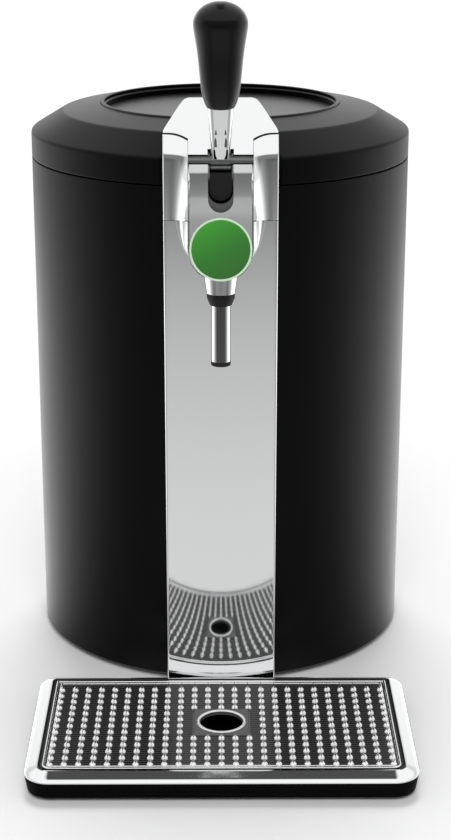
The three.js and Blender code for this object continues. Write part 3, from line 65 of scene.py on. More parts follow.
WELL_LOW, WELL_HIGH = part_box("keg_well")
SHELL_LOW, SHELL_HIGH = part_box("barrel_shell")
LID_LOW, LID_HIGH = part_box("lid_shell")
RING_LOW, RING_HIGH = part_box("lid_ring")
DISC_LOW, DISC_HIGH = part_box("lid_disc")
PANEL_LOW, PANEL_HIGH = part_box("column_panel")
HOUSING_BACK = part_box("tap_housing")[1].y
NOSE_LOW, NOSE_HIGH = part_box("lid_nose")
PIN_LOW, PIN_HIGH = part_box("pivot_pin")
STEM_LOW, STEM_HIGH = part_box("lever_stem")
GRIP_LOW, GRIP_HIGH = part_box("lever_grip")
TUBE_LOW, TUBE_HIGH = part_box("spout_tube")
TIP_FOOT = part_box("spout_tip")[0].z
SEAL_LOW, SEAL_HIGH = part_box("spout_ring")
RIM_LOW, RIM_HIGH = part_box("tray_rim")
BASE_LOW, BASE_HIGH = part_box("tray_base")
GRILLE_LOW, GRILLE_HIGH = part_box("drip_grille")

AXIS = Vector((0, (WELL_LOW.y + WELL_HIGH.y) / 2, 0))
RADIUS = SHELL_HIGH.x
TOP = SHELL_HIGH.z
COLUMN_HALF = PANEL_HIGH.x
SKIN_RADIUS = AXIS.y - PANEL_LOW.y
COLUMN_EDGE = math.sqrt(SKIN_RADIUS ** 2 - COLUMN_HALF ** 2)
SPOUT = Vector((0, (TUBE_LOW.y + TUBE_HIGH.y) / 2, 0))
PIVOT = (PIN_LOW + PIN_HIGH) / 2

# Reaches and gaps that several pieces share

CEILING = 1.0
WHOLE_SIDE = CEILING
FAR_FRONT = AXIS.y - RADIUS * 2
OVERRUN = 10 * mm
GAP = 0.3 * mm
FIT = 0.12 * mm
HAIR = 0.1 * mm
LID_CLEAR = 0.4 * mm

# Lid

LID_WALL = 2.4 * mm
LID_BAND = LID_LOW.z + 17.6 * mm
LID_SHOULDER = LID_LOW.z + 30.9 * mm
SHOULDER_INSET = 22 * mm
LID_FLAT = AXIS.y - 127.3 * mm

# Parting line, posts and ridge of the tap head

PARTING = TOP - 17.6 * mm
PARTING_RISE = 0.146
PARTING_GAP = 0.4 * mm
PARTING_NORMAL = Vector((0, PARTING_RISE, 1))
LEAN_START = TOP + 24.4 * mm
LEAN = math.tan(math.radians(25))
BEND = 2.5 * mm
FOLD = TOP + 38.4 * mm
POST_TOP = TOP + 37.2 * mm
POST_SLOPE, POST_FLAT = 3.5 * mm, 4 * mm
POST_EDGE = 1.2 * mm
# Width of the strip at each post's top that is painted black as shade in the seam
SEAM = 0.7 * mm
RIDGE_FRONT = SKIN_RADIUS + 1.1 * mm
RIDGE_HALF, RIDGE_WIDTH, RIDGE_RAISE = 20.9 * mm, 0.4 * mm, 1.2 * mm
RIDGE_ROUND = 0.3 * mm
FLANK_WIDTH, BOSS_FLANK_WIDTH = 15.4 * mm, 8.4 * mm
FLANK_LOW, FLANK_HIGH = PARTING - 34 * mm, PARTING + 4 * mm
FLANK_CURVE = 3.4
TILT = math.radians(14.5)

# Badge, face and slot

BADGE_HEIGHT = PARTING - 14.35 * mm
BADGE_RADIUS = 18.4 * mm
FACE_RECESS = 1.4 * mm
FACE_TOP = LEAN_START - 5 * mm
SLOT_HALF, SLOT_LOW = 8 * mm, PARTING + 7.7 * mm
SLOT_AXIS = SLOT_LOW + SLOT_HALF
POCKET_HALF = RIDGE_HALF - 0.9 * mm
POCKET_TAPER = 1 * mm
TAPER_LOW, TAPER_HIGH = LEAN_START - 32 * mm, LEAN_START - 9 * mm
INNER_HALF = RIDGE_HALF - 0.2 * mm
INNER_LOW, INNER_HIGH = FACE_TOP - 7 * mm, FACE_TOP + 3 * mm

# Spout and nose

COLLAR_TOP_RADIUS = 11.5 * mm
# Half width over which the collar's painted reflection darkens towards its middle
COLLAR_REFLECTION_HALF = 11 * mm
NOSE_CREST = 22.4 * mm

# Lever

STEM_LEAN = 4 * mm
STEM_SWELL = 0.72
STEM_FOOT_SHARE = 0.66
STEM_FOOT_DEPTH, STEM_HEAD_DEPTH = 3.6 * mm, 5.4 * mm
HUB_HALF, HUB_RADIUS, HUB_BORE = 6.3 * mm, 3.5 * mm, 2.9 * mm
ROLLER_RADIUS = 1.7 * mm
FINGER_REACH, FINGER_TIP, FINGER_HALF = 12.3 * mm, 2.2 * mm, 7.1 * mm

# Drip tray and its plate

TRAY_FRONT_ROUND, TRAY_BACK_ROUND, TRAY_LEAST_ROUND = 17 * mm, 12 * mm, 0.6 * mm
RIM_SLOPE, RIM_CREST, RIM_STEP, RIM_WALL = 8.4 * mm, 1.1 * mm, 4.8 * mm, 1.4 * mm
PLATE_INSET = 11.6 * mm
PAD_HALF, PAD_DEEP = 17.8 * mm, 18.2 * mm
# Half size of the square round the hole whose flat steel gets a grey painted reflection
PAD_REFLECTION_HALF = 18.6 * mm
HOLE_RADIUS = 14.3 * mm
HOLE_Y = (RIM_LOW.y + RIM_HIGH.y) / 2 + 0.6 * mm
SHEET_TOP = GRILLE_LOW.z + 1.2 * mm
DIMPLE_PITCH_X, DIMPLE_PITCH_Y = 8.9 * mm, 8.6 * mm
DIMPLE_COLUMNS, DIMPLE_ROWS = 25, 13
DIMPLE_RADIUS, DIMPLE_HEIGHT = 2.35 * mm, 2.5 * mm
DIMPLE_FRONT = GRILLE_LOW.y + 5.2 * mm

# Finishing

SHARP = math.radians(30)
BLUNT = math.radians(50)
SEAMED = math.radians(40)
KEEN = math.radians(20)
POST_CREASE = math.radians(55)
COPY_CREASE = math.radians(35)
GRIP_CREASE = math.radians(60)
FLAT = math.radians(1)
MERGE, FINE_MERGE = mm / 100, mm / 500
ROUND_SIDES = 192
SMALL_SIDES = 72
FINE = 96

# Modelling tools


def alone(piece):
    """Selects one piece and nothing else."""
    bpy.ops.object.select_all(action="DESELECT")
    piece.hide_set(False)
    piece.select_set(True)
    bpy.context.view_layer.objects.active = piece
    return piece


def edit(piece, mode="FACE"):
    alone(piece)
    bpy.ops.object.mode_set(mode="EDIT")
    bpy.ops.mesh.select_mode(type=mode)
    bpy.ops.mesh.select_all(action="SELECT")


def leave():
    bpy.ops.object.mode_set(mode="OBJECT")
    return bpy.context.view_layer.objects.active


def settle(piece):
    """Puts a piece's place and turn into its mesh."""
    alone(piece)
    bpy.ops.object.transform_apply(location=True, rotation=True, scale=True)
    return piece


def modified(piece, kind, **settings):
    alone(piece)
    modifier = piece.modifiers.new(kind.lower(), kind)
    for name, value in settings.items():
        setattr(modifier, name, value)
    bpy.ops.object.modifier_apply(modifier=modifier.name)
    return piece


def smooth(piece, angle=SHARP):
    """Shades a piece smooth, with the normals of its large faces kept straight."""
    alone(piece)
    bpy.ops.object.shade_smooth_by_angle(angle=angle)
    return modified(piece, "WEIGHTED_NORMAL", keep_sharp=True, weight=80)


def softened(piece, width, segments=2, angle=SHARP):
    """Rounds a piece's hard edges and shades it smooth."""
    modified(piece, "BEVEL", width=width, segments=segments, limit_method="ANGLE", angle_limit=angle)
    return smooth(piece)


def facing_out(piece):
    edit(piece)
    bpy.ops.mesh.remove_doubles(threshold=MERGE)
    bpy.ops.mesh.normals_make_consistent(inside=False)
    return leave()


def carved(piece, *tools, way="DIFFERENCE"):
    for tool in tools:
        modified(piece, "BOOLEAN", operation=way, object=tool, solver="EXACT")
        bpy.data.objects.remove(tool)
    return piece


def joined(piece, *others):
    alone(piece)
    for other in others:
        other.select_set(True)
    bpy.ops.object.join()
    return bpy.context.object


def block(low, high, name="tool"):
    """A box between two corners."""
    bpy.ops.object.select_all(action="DESELECT")
    low, high = Vector(low), Vector(high)
    bpy.ops.mesh.primitive_cube_add(size=1, location=(low + high) / 2, scale=high - low)
    piece = settle(bpy.context.object)
    piece.name = name
    return piece


def cornered(before, corner, after, radius, steps=5):
    """Points of a rounded corner, which reaches half way to each neighbour at most."""
    corner = Vector(corner)
    into, out = Vector(before) - corner, Vector(after) - corner
    reach = min(radius, into.length / 2, out.length / 2)
    start, end = corner + into.normalized() * reach, corner + out.normalized() * reach
    shares = [k / steps for k in range(steps + 1)]
    return [tuple(start * (1 - s) ** 2 + corner * 2 * s * (1 - s) + end * s ** 2) for s in shares]


def rounded(points, radius, steps=5, loop=False):
    """A profile of (across, up) points whose corners are rounded, apart from its ends."""
    if loop:
        points = [points[-1]] + list(points) + [points[0]]
    made = [] if loop else [points[0]]
    for before, corner, after in zip(points, points[1:], points[2:]):
        made += cornered(before, corner, after, radius, steps)
    return made if loop else made + [points[-1]]


def turned(name, profile, sides=ROUND_SIDES, centre=None, loop=False):
    """A turned piece: a ring, extruded and resized along its (radius, height) profile."""
    centre = AXIS if centre is None else centre
    stations = [station for station in profile if station[0] > 0]
    bpy.ops.object.select_all(action="DESELECT")
    radius, height = stations[0]
    bpy.ops.mesh.primitive_circle_add(vertices=sides, radius=radius, fill_type="NOTHING",
                                      location=(centre.x, centre.y, height))
    piece = settle(bpy.context.object)
    piece.name = name
    edit(piece, "EDGE")
    if profile[0][0] == 0:
        bpy.ops.mesh.edge_face_add()
        bpy.ops.mesh.select_all(action="SELECT")
    for wider, higher in stations[1:]:
        bpy.ops.mesh.extrude_edges_move(TRANSFORM_OT_translate={"value": (0, 0, higher - height)})
        share = wider / radius
        bpy.ops.transform.resize(value=(share, share, 1), center_override=(centre.x, centre.y, higher))
        radius, height = wider, higher
    if profile[-1][0] == 0:
        bpy.ops.mesh.edge_face_add()
    leave()
    if loop:
        edit(piece, "EDGE")
        bpy.ops.mesh.select_all(action="DESELECT")
        bpy.ops.mesh.select_non_manifold(extend=False)
        bpy.ops.mesh.bridge_edge_loops()
        leave()
    return facing_out(piece)


def shaped(name, points, faces):
    mesh = bpy.data.meshes.new(name)
    mesh.from_pydata(points, [], faces)
    piece = bpy.data.objects.new(name, mesh)
    bpy.context.scene.collection.objects.link(piece)
    return piece


def prism(name, points, low, high, along="y"):
    """A straight piece whose outline is given across and up, drawn along one axis."""
    turns = {"x": lambda a, b, c: (c, a, b), "y": lambda a, b, c: (a, c, b), "z": lambda a, b, c: (a, b, c)}
    order = turns[along]
    piece = shaped(name, [order(a, b, low) for a, b in points], [tuple(range(len(points)))])
    edit(piece)
    bpy.ops.mesh.extrude_region_move(TRANSFORM_OT_translate={"value": order(0, 0, high - low)})
    leave()
    return facing_out(piece)


def lofted(name, loops, endless=False):
    """A skin through loops of as many points each, closed at its ends or run round to its start."""
    count = len(loops[0])
    points = [tuple(point) for loop in loops for point in loop]
    faces = []
    for k in range(len(loops) if endless else len(loops) - 1):
        near, far = k * count, (k + 1) % len(loops) * count
        faces += [(near + i, near + (i + 1) % count, far + (i + 1) % count, far + i) for i in range(count)]
    if not endless:
        faces += [tuple(range(count)), tuple(range((len(loops) - 1) * count, len(loops) * count))]
    return facing_out(shaped(name, points, faces))


def sliced(piece, place_at, normal):
    """Cuts off what lies on the side that a normal points to, and closes the cut."""
    edit(piece)
    bpy.ops.mesh.bisect(plane_co=place_at, plane_no=normal, use_fill=True, clear_outer=True)
    return leave()


def copy_of(node, name):
    """A merged copy of one of the frame's nodes, with its flat faces whole."""
    alone(frame["nodes"][node])
    bpy.ops.object.duplicate()
    piece = bpy.context.object
    piece.name = name
    piece.data.name = name
    del piece["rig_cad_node"]
    piece.data.materials.clear()
    edit(piece)
    bpy.ops.mesh.remove_doubles(threshold=FINE_MERGE)
    bpy.ops.mesh.dissolve_limited(angle_limit=FLAT)
    leave()
    return piece


def place(piece, body, look, *nodes):
    """Gives a finished piece its material and its body, in place of the frame's nodes."""
    settle(piece)
    piece.data.materials.clear()
    piece.data.materials.append(LOOKS[look])
    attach(piece, body)
    if nodes:
        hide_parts(*nodes)
    return piece


def tinted(piece, look, chosen):
    """Gives another material to the faces that a test picks."""
    piece.data.materials.append(LOOKS[look])
    for face in piece.data.polygons:
        if chosen(face):
            face.material_index = len(piece.data.materials) - 1


def common(piece, tool):
    """What a piece and a tool both fill."""
    return carved(piece, tool, way="INTERSECT")


SLOTS = {entry["node"]: entry["material_slot"] for entry in frame["record"]["subparts"]}
BODIES = {node: body for body, nodes in frame["record"]["behaviour"]["bodies"].items() for node in nodes}


# Materials

OBJECT_PLACE, WORLD_PLACE = 3, 0
BROAD_GRAIN = 14.0


class Tone:
    """A socket of a material's node tree: arithmetic on it adds Math nodes."""

    def __init__(self, look, socket):
        self.look, self.socket = look, socket

    def _math(self, operation, *values):
        return self.look.node("Math", {"operation": operation}, *values)

    def __add__(self, other):
        return self._math("ADD", self, other)

    def __sub__(self, other):
        return self._math("SUBTRACT", self, other)

    def __rsub__(self, other):
        return self._math("SUBTRACT", other, self)

    def __mul__(self, other):
        return self._math("MULTIPLY", self, other)

    def __truediv__(self, other):
        return self._math("DIVIDE", self, other)

    def __abs__(self):
        return self._math("ABSOLUTE", self)

    def __lt__(self, other):
        return self._math("LESS_THAN", self, other)

    __radd__ = __add__
    __rmul__ = __mul__

    def part(self, index):
        """Another output of the same node, such as one axis of a place."""
        return Tone(self.look, self.socket.node.outputs[index])


class Look:
    """A node tree that is being written: a material's, or the world's."""

    def __init__(self, owner):
        owner.use_nodes = True
        self.tree = owner.node_tree
        self.tree.nodes.clear()

    def node(self, kind, settings=None, *values, output=0, **named):
        """Adds a node of a kind with its settings, then gives its sockets their values or links."""
        made = self.tree.nodes.new("ShaderNode" + kind)
        for name, value in (settings or {}).items():
            if name == "stops":
                self._stops(made.color_ramp, value)
            else:
                setattr(made, name, value)
        for socket, value in zip(made.inputs, values):
            self.feed(socket, value)
        for socket, value in named.items():
            self.feed(made.inputs[socket], value)
        return Tone(self, made.outputs[output]) if made.outputs else None

    @staticmethod
    def _stops(ramp, stops):
        while len(ramp.elements) > 1:
            ramp.elements.remove(ramp.elements[-1])
        for k, (place_share, tone) in enumerate(stops):
            stop = ramp.elements[0] if k == 0 else ramp.elements.new(place_share)
            stop.position = place_share
            stop.color = grey(tone) if isinstance(tone, (int, float)) else (*tone, 1)

    def feed(self, socket, value):
        if isinstance(value, Tone):
            self.tree.links.new(value.socket, socket)
        elif value is not None:
            socket.default_value = value

    def fraction(self, value):
        """What a value has over its whole number."""
        return self.node("Math", {"operation": "FRACT"}, value)

    def ramp(self, share, *stops):
        return self.node("ValToRGB", {"stops": stops}, share)

    def blend(self, share, first, second):
        """A colour between two others."""
        made = self.node("Mix", {"data_type": "RGBA"}, share, output=2)
        inputs = made.socket.node.inputs
        self.feed(inputs[6], first)
        self.feed(inputs[7], second)
        return made

    def axes(self, output=OBJECT_PLACE):
        """The three axes of a place: on the object, or of the direction that the world is seen in."""
        split = self.node("SeparateXYZ", {}, self.node("TexCoord", output=output))
        return split, split.part(1), split.part(2)

    def end(self, kind, shader):
        self.node("Output" + kind, {}, shader)


def grey(value):
    return (value, value, value, 1)


def material(name, sockets, varied=None):
    """A material whose shader has fixed sockets, and others that a function of the look gives."""
    owner = bpy.data.materials.new(name)
    look = Look(owner)
    shader = look.node("BsdfPrincipled", {}, **sockets)
    for socket, value in (varied(look) if varied else {}).items():
        look.feed(shader.socket.node.inputs[socket], value)
    look.end("Material", shader)
    return owner


def speckled(rough, fine=900.0, height=0.01, spread=0.04):
    """Fine grain in a surface's gloss and height."""
    def varied(look):
        spot = look.node("TexCoord", output=OBJECT_PLACE)
        grain = look.node("TexNoise", {}, Vector=spot, Scale=fine, Detail=2.0)
        broad = look.node("TexNoise", {}, Vector=spot, Scale=BROAD_GRAIN, Detail=3.0)
        bump = look.node("Bump", {}, Strength=height, Distance=mm, Height=grain)
        return {"Normal": bump, "Roughness": rough + spread * (broad - 0.5)}
    return varied


def black(name, tone, rough, specular, fine=1400.0, height=0.02, spread=0.04):
    return material(name, {"Base Color": grey(tone), "Specular IOR Level": specular},
                    speckled(rough, fine, height, spread))


def metal(name, tone, rough, spread=0.03, height=0.002):
    return material(name, {"Base Color": (0.99 * tone, tone, 1.005 * tone, 1), "Metallic": 1.0},
                    speckled(rough, 500.0, height, spread))


def plain(name, colour, rough):
    return material(name, {"Base Color": (*colour, 1)}, speckled(rough, 900.0, 0.03))


def painted_reflection_chrome(name, half, *stops):
    """Chrome with a painted reflection: darker towards the middle of a narrow round piece."""
    def varied(look):
        return {"Base Color": look.ramp(abs(look.axes()[0]) / half, *stops)}
    return material(name, {"Metallic": 1.0, "Roughness": 0.1}, varied)


def badge_green():
    """Green enamel with painted light: lighter towards its upper left, where the light falls."""
    fall, drift = 50 * mm, 90 * mm

    def varied(look):
        x, _, z = look.axes()
        # Painted light: the green is lighter up and to the left across the badge
        share = 0.5 + (z - BADGE_HEIGHT) / fall - x / drift
        low, middle, high = (0.042, 0.15, 0.034), (0.036, 0.205, 0.029), (0.054, 0.36, 0.036)
        return {"Base Color": look.ramp(share, (0.0, low), (0.45, middle), (1.0, high))}
    return material("badge_green", {"Roughness": 0.3, "Specular IOR Level": 0.3}, varied)


def sheet_reflection(look, y):
    """The flat sheet's painted reflection: fine lines of three dark greys across the plate, three to a row
    of dimples.
    """
    row = look.fraction((y - DIMPLE_FRONT) / DIMPLE_PITCH_Y)
    fine = look.fraction(row * 3)
    return look.blend(fine < 0.3, look.blend(fine < 0.65, grey(0.075), grey(0.04)), grey(0.015))


def dimple_reflection(look, x, y, pad):
    """Painted reflection on the dimples: bright steel with a thin darker line along the middle of each
    column of dimples.
    """
    side, end = 5 * mm, 4 * mm
    half_depth = (GRILLE_HIGH.y - GRILLE_LOW.y) / 2
    column = look.fraction(x / DIMPLE_PITCH_X + 0.5)
    inside = (abs(x) < GRILLE_HIGH.x - side) * (abs(y - HOLE_Y) < half_depth - end)
    centre_reflection = (abs(column - 0.5) < 0.05) * inside * (1 - pad)
    return look.blend(centre_reflection, grey(0.9), grey(0.55))


def grille_steel():
    """Steel with painted reflections: bright dimples, rolls and ring on a sheet painted darker, with fine
    lines from row to row.
    """
    sheet_skin, pad_skin = 0.12 * mm, 0.78 * mm

    def varied(look):
        x, y, z = look.axes()
        pad = (abs(x) < PAD_REFLECTION_HALF) * (abs(y - HOLE_Y) < PAD_REFLECTION_HALF)
        flat = z < SHEET_TOP + sheet_skin + pad_skin * pad
        # Painted reflection: the flat sheet and pad are dark and mostly not metal, the raised steel bright
        low = look.blend(pad, sheet_reflection(look, y), grey(0.13))
        steel = look.blend(flat, dimple_reflection(look, x, y, pad), low)
        return {"Base Color": steel, "Metallic": 1 - 0.8 * flat}
    return material("grille_steel", {"Roughness": 0.2, "Specular IOR Level": 0.12}, varied)


# Blacks and greys: tone, roughness and specular level, then the grain's scale and height where they differ

BLACKS = {
    "black_satin": (0.0025, 0.35, 0.1),
    "black_gloss": (0.004, 0.09, 0.5, 300.0, 0.002),
    "black_plastic": (0.006, 0.5, 0.3, 1800.0, 0.06),
    # Lit and shaded copies of one black for the lid: painted light on its crown and disc, painted shade on
    # its shoulder and ring, by tone and specular level
    "lid_satin": (0.004, 0.36, 0.45),
    "shoulder_satin": (0.003, 0.36, 0.14),
    "disc_satin": (0.005, 0.32, 0.75),
    "ring_gloss": (0.0015, 0.12, 0.03, 300.0, 0.002),
    # Painted shade and painted light: blacks and greys for seams, the slot, the rim's groove and deep parts
    # in shade, and a grey for lit walls and reflections
    "inner_black": (0.002, 0.6, 0.05),
    "inner_grey": (0.014, 0.6, 0.1),
    "sill_grey": (0.1, 0.6, 0.1),
    "shutter_grey": (0.016, 0.6, 0.1),
    "groove_grey": (0.03, 0.4, 0.3),
    "tray_black": (0.0025, 0.5, 0.02),
}

# Metals: tone and roughness, then how much the roughness varies and the grain's height where they differ

METALS = {
    "chrome": (0.92, 0.07),
    "polished_steel": (0.79, 0.06, 0.02, 0.0),
    "satin_steel": (0.66, 0.36),
    "dark_steel": (0.22, 0.45),
    "aluminium": (0.62, 0.38),
    "face_steel": (0.66, 0.25),
}

# Other finishes: colour and roughness

PLAINS = {
    "rubber_black": ((0.01, 0.01, 0.01), 0.8),
    "grey_plastic": ((0.02, 0.02, 0.021), 0.55),
    "silicone": ((0.68, 0.68, 0.66), 0.45),
    "foam": ((0.8, 0.79, 0.73), 0.9),
    "ceramic": ((0.85, 0.85, 0.82), 0.6),
    "board_green": ((0.012, 0.1, 0.04), 0.5),
    "rim_white": ((0.66, 0.86, 0.62), 0.3),
}

# Painted reflections on the chrome of the spout and its collar, as (share of the way from the middle to the
# side, tone)

TUBE_REFLECTION_STOPS = (0.0, 0.09), (0.34, 0.12), (0.6, 0.6), (1.0, 0.85)
COLLAR_REFLECTION_STOPS = (0.0, 0.28), (0.3, 0.34), (0.62, 0.8), (1.0, 0.95)

GRIP_SOCKETS = {"Base Color": grey(0.002), "Specular IOR Level": 0.25, "Sheen Weight": 0.9,
                "Sheen Roughness": 0.35}
LOOKS = {
    "badge_green": badge_green(),
    "grip_gloss": material("grip_gloss", GRIP_SOCKETS, speckled(0.16, 600.0, 0.003, 0.02)),
    "spout_chrome": painted_reflection_chrome("spout_chrome", TUBE_HIGH.x, *TUBE_REFLECTION_STOPS),
    "collar_chrome": painted_reflection_chrome("collar_chrome", COLLAR_REFLECTION_HALF, *COLLAR_REFLECTION_STOPS),
    "grille_steel": grille_steel(),
}
for finish, table in ((black, BLACKS), (metal, METALS), (plain, PLAINS)):
    LOOKS.update({name: finish(name, *values) for name, values in table.items()})


# Barrel and lid


def make_barrel():
    wall, edge = 2.6 * mm, 0.8 * mm
    low, high = SHELL_LOW.z, SHELL_HIGH.z
    section = [(RADIUS - wall, low), (RADIUS, low), (RADIUS, high), (RADIUS - wall, high)]
    piece = turned("barrel_skin", rounded(section, edge, 3), loop=True)
    notch_half = COLUMN_HALF + GAP
    notch = block((-notch_half, FAR_FRONT, 0), (notch_half, AXIS.y - RADIUS / 2, TOP * 2))
    window_half, window_low, window_high = 50 * mm, 30 * mm, 322 * mm
    near, far = AXIS.y + RADIUS / 2, AXIS.y + RADIUS * 2
    carved(piece, notch, block((-window_half, near, window_low), (window_half, far, window_high)))
    place(smooth(piece), "body", "black_satin", "barrel_shell")


def lid_profile():
    """The lid's profile: up its outside from rim to crown, and back down its inside."""
    low, crown, hole, wall = LID_LOW.z, LID_HIGH.z, RING_HIGH.x + GAP, LID_WALL
    edge, bend = 0.5 * mm, 2 * mm
    outside = rounded([(RADIUS - edge, low), (RADIUS, low + edge), (RADIUS, LID_BAND),
                       (RADIUS - SHOULDER_INSET, LID_SHOULDER), (hole, crown)], bend)
    inside = [(hole, RING_LOW.z), (hole + wall, RING_LOW.z), (hole + wall, crown - wall * 1.1),
              (RADIUS - SHOULDER_INSET - wall / 4, LID_SHOULDER - wall),
              (RADIUS - wall, LID_BAND - wall / 2), (RADIUS - wall, low)]
    return outside, inside


def make_lid():
    """The lid's skin, and the flat front behind the nose, cut from the same outside."""
    outside, inside = lid_profile()
    skin = turned("lid_skin", outside + inside, loop=True)
    front = turned("lid_front", [(0, LID_LOW.z)] + outside + [(0, LID_HIGH.z)])
    half, wall = COLUMN_HALF + LID_CLEAR, LID_WALL
    common(front, block((-half - wall, LID_FLAT, 0), (half + wall, LID_FLAT + wall, CEILING)))
    carved(skin, block((-half, FAR_FRONT, 0), (half, LID_FLAT, CEILING)))
    for shell, nodes in ((skin, ["lid_shell"]), (front, [])):
        place(smooth(shell), "lid", "black_satin", *nodes)
        # Painted light and shade: the shoulder gets a shaded copy of the satin black, the crown a lit copy
        tinted(shell, "shoulder_satin", lambda face: face.center.z > LID_BAND)
        tinted(shell, "lid_satin", lambda face: face.center.z > LID_SHOULDER)


def make_lid_ring():
    """The raised ring, with a shelf inside it: a shaded gloss copy as painted shade, with the lid's lit
    satin copy on its outer and top faces.
    """
    top, edge, low = RING_HIGH.z, RING_HIGH.x, RING_LOW.z
    width, ledge, step, slant, drop, bend = 2.7 * mm, 5.7 * mm, 0.3 * mm, 1.1 * mm, 2.6 * mm, 0.9 * mm
    wall, shelf, under = edge - width - slant, top - drop, DISC_LOW.z - step
    crown = rounded([(edge, low), (edge, top), (edge - width, top), (edge - width, shelf),
                     (wall, shelf - step), (wall, under)], bend)
    ring = turned("lid_hoop", crown + [(edge - ledge, under), (edge - ledge, low)], loop=True)
    place(smooth(ring), "lid", "ring_gloss", "lid_ring")
    crest = edge - width / 2
    tinted(ring, "lid_satin", lambda face: (face.center - AXIS).xy.length > crest or face.normal.z > 0.5)


def make_lid_disc():
    edge, raised, clear = 0.3 * mm, 1.8 * mm, 1 * mm
    low, top, reach = DISC_LOW.z, DISC_HIGH.z + raised, DISC_HIGH.x - clear
    disc = turned("lid_plate", [(0, low), (reach, low), (reach, top - edge), (reach - edge, top), (0, top)])
    # The disc gets a lit copy of the satin black, as painted light
    place(smooth(disc), "lid", "disc_satin", "lid_disc")


# Front column and tap head


def skin_y(across, radius=SKIN_RADIUS):
    """Front of a skin that is round about the barrel's axis."""
    return AXIS.y - math.sqrt(radius ** 2 - across ** 2)


def ridge_y(height):
    """Front of the tilted ridge at a height."""
    return AXIS.y - RIDGE_FRONT - (LEAN_START - height) * math.tan(TILT)


def face_y(height):
    """Front of the face between the posts, a recess behind the ridge."""
    return ridge_y(height) + FACE_RECESS


def tilted(across, up, out):
    """A place on the tilted front, from the badge's centre."""
    return Vector((across, ridge_y(BADGE_HEIGHT) + up * math.sin(TILT) - out * math.cos(TILT),
                   BADGE_HEIGHT + up * math.cos(TILT) + out * math.sin(TILT)))


def rising(value, start, end):
    """A share that rises smoothly from 0 to 1 between two values."""
    share = min(max((value - start) / (end - start), 0), 1)
    return share ** 2 * (3 - 2 * share)


def boss_reach(height):
    """How far the boss's flank beside the ridge spreads at a height."""
    least_share = 0.008
    return BOSS_FLANK_WIDTH * max(rising(height, FLANK_LOW, FLANK_HIGH), least_share)


def leaning(height):
    """How far the posts lean back at a height, with a soft bend where the lean starts."""
    above = height - LEAN_START
    return LEAN * (max(above, 0) if abs(above) > BEND else (above + BEND) ** 2 / (4 * BEND))


def parting_level(upper):
    """A place on the parting line, above or below its gap."""
    return Vector((0, AXIS.y - COLUMN_EDGE, PARTING + (PARTING_GAP if upper else 0)))


def half_round(radius, middle, steps=FINE):
    """The lower half of a circle, from its left end to its right: (across, up)."""
    turns = [math.pi * (1 + k / steps) for k in range(steps + 1)]
    return [(radius * math.cos(a), middle + radius * math.sin(a)) for a in turns]


def front_tool(outline):
    """A cutter through everything in front of the axis, from its outline seen from the front."""
    return prism("tool", outline, FAR_FRONT, AXIS.y, "y")


def u_tool(half, deep):
    """A cutter with a U outline that stands square to the tilted front."""
    top = (POST_TOP - BADGE_HEIGHT) * 2
    outline = [(-half, top)] + half_round(half, RIDGE_RAISE) + [(half, top)]
    return lofted("tool", [[tilted(a, u, out) for a, u in outline] for out in (-deep, OVERRUN)])


def panel_outline(half, radius, back, steps=FINE):
    """The column in plan: straight sides, soft front edges and a front round about the barrel's axis."""
    edge = 1.3 * mm
    reach = math.asin(half / radius)
    angles = [reach * (2 * k / steps - 1) for k in range(steps + 1)]
    arc = [(radius * math.sin(a), AXIS.y - radius * math.cos(a)) for a in angles]
    left = cornered((-half, back), arc[0], arc[3], edge, 6)
    right = cornered(arc[-4], arc[-1], (half, back), edge, 6)
    return [(-half, back)] + left + arc[2:-2] + right + [(half, back)]


def make_panel():
    """The polished front of the column, with the U for the boss and a door for the tray's tongue."""
    wall, edge, cut = 1.2 * mm, 0.25 * mm, 30 * mm
    back = PANEL_HIGH.y
    outer = panel_outline(COLUMN_HALF, SKIN_RADIUS, back)
    inner = panel_outline(COLUMN_HALF - wall, SKIN_RADIUS - wall, back)
    piece = prism("panel_skin", outer + inner[::-1], PANEL_LOW.z, POST_TOP, "z")
    sliced(piece, parting_level(False), PARTING_NORMAL)
    door_half, door_high = 26.5 * mm, 12 * mm
    door = block((-door_half, FAR_FRONT, 0), (door_half, back, door_high))
    carved(piece, u_tool(RIDGE_HALF + GAP, cut), door)
    softened(piece, edge, 2, BLUNT)
    place(piece, "body", "polished_steel", "column_panel")


def flank_points(foot, top, lean, steps=16):
    """The flank's curve in plan, from its foot on the skin up to the ridge: (across, y)."""
    rise = skin_y(abs(top[0])) + lean - top[1]
    points = []
    for k in range(steps + 1):
        share = k / steps
        across = foot + (top[0] - foot) * share
        points.append((across, skin_y(abs(across)) + lean - rise * share ** FLANK_CURVE))
    return points


def post_section(height):
    """Plan section through the left post at a height."""
    lean, back = leaning(height), HOUSING_BACK
    ridge = (-RIDGE_HALF, ridge_y(height) + lean)
    outer = (-COLUMN_HALF, skin_y(COLUMN_HALF) + lean)
    flank = flank_points(-RIDGE_HALF - FLANK_WIDTH, ridge, lean)
    pocket = POCKET_HALF - POCKET_TAPER * rising(height, TAPER_LOW, TAPER_HIGH)
    inner = INNER_HALF - (INNER_HALF - pocket) * rising(height, INNER_HIGH, INNER_LOW)
    crest = (-max(RIDGE_HALF - RIDGE_WIDTH, inner), ridge[1])
    heel = (-inner, ridge[1] + FACE_RECESS)
    points = [(outer[0], back)] + cornered((outer[0], back), outer, flank[3], POST_EDGE, 6) + flank[1:-1]
    points += cornered(flank[-2], ridge, crest, RIDGE_ROUND)
    points += cornered(ridge, crest, heel, RIDGE_ROUND / 2) + [heel, (-inner, back)]
    return [Vector((across, y, height)) for across, y in points]


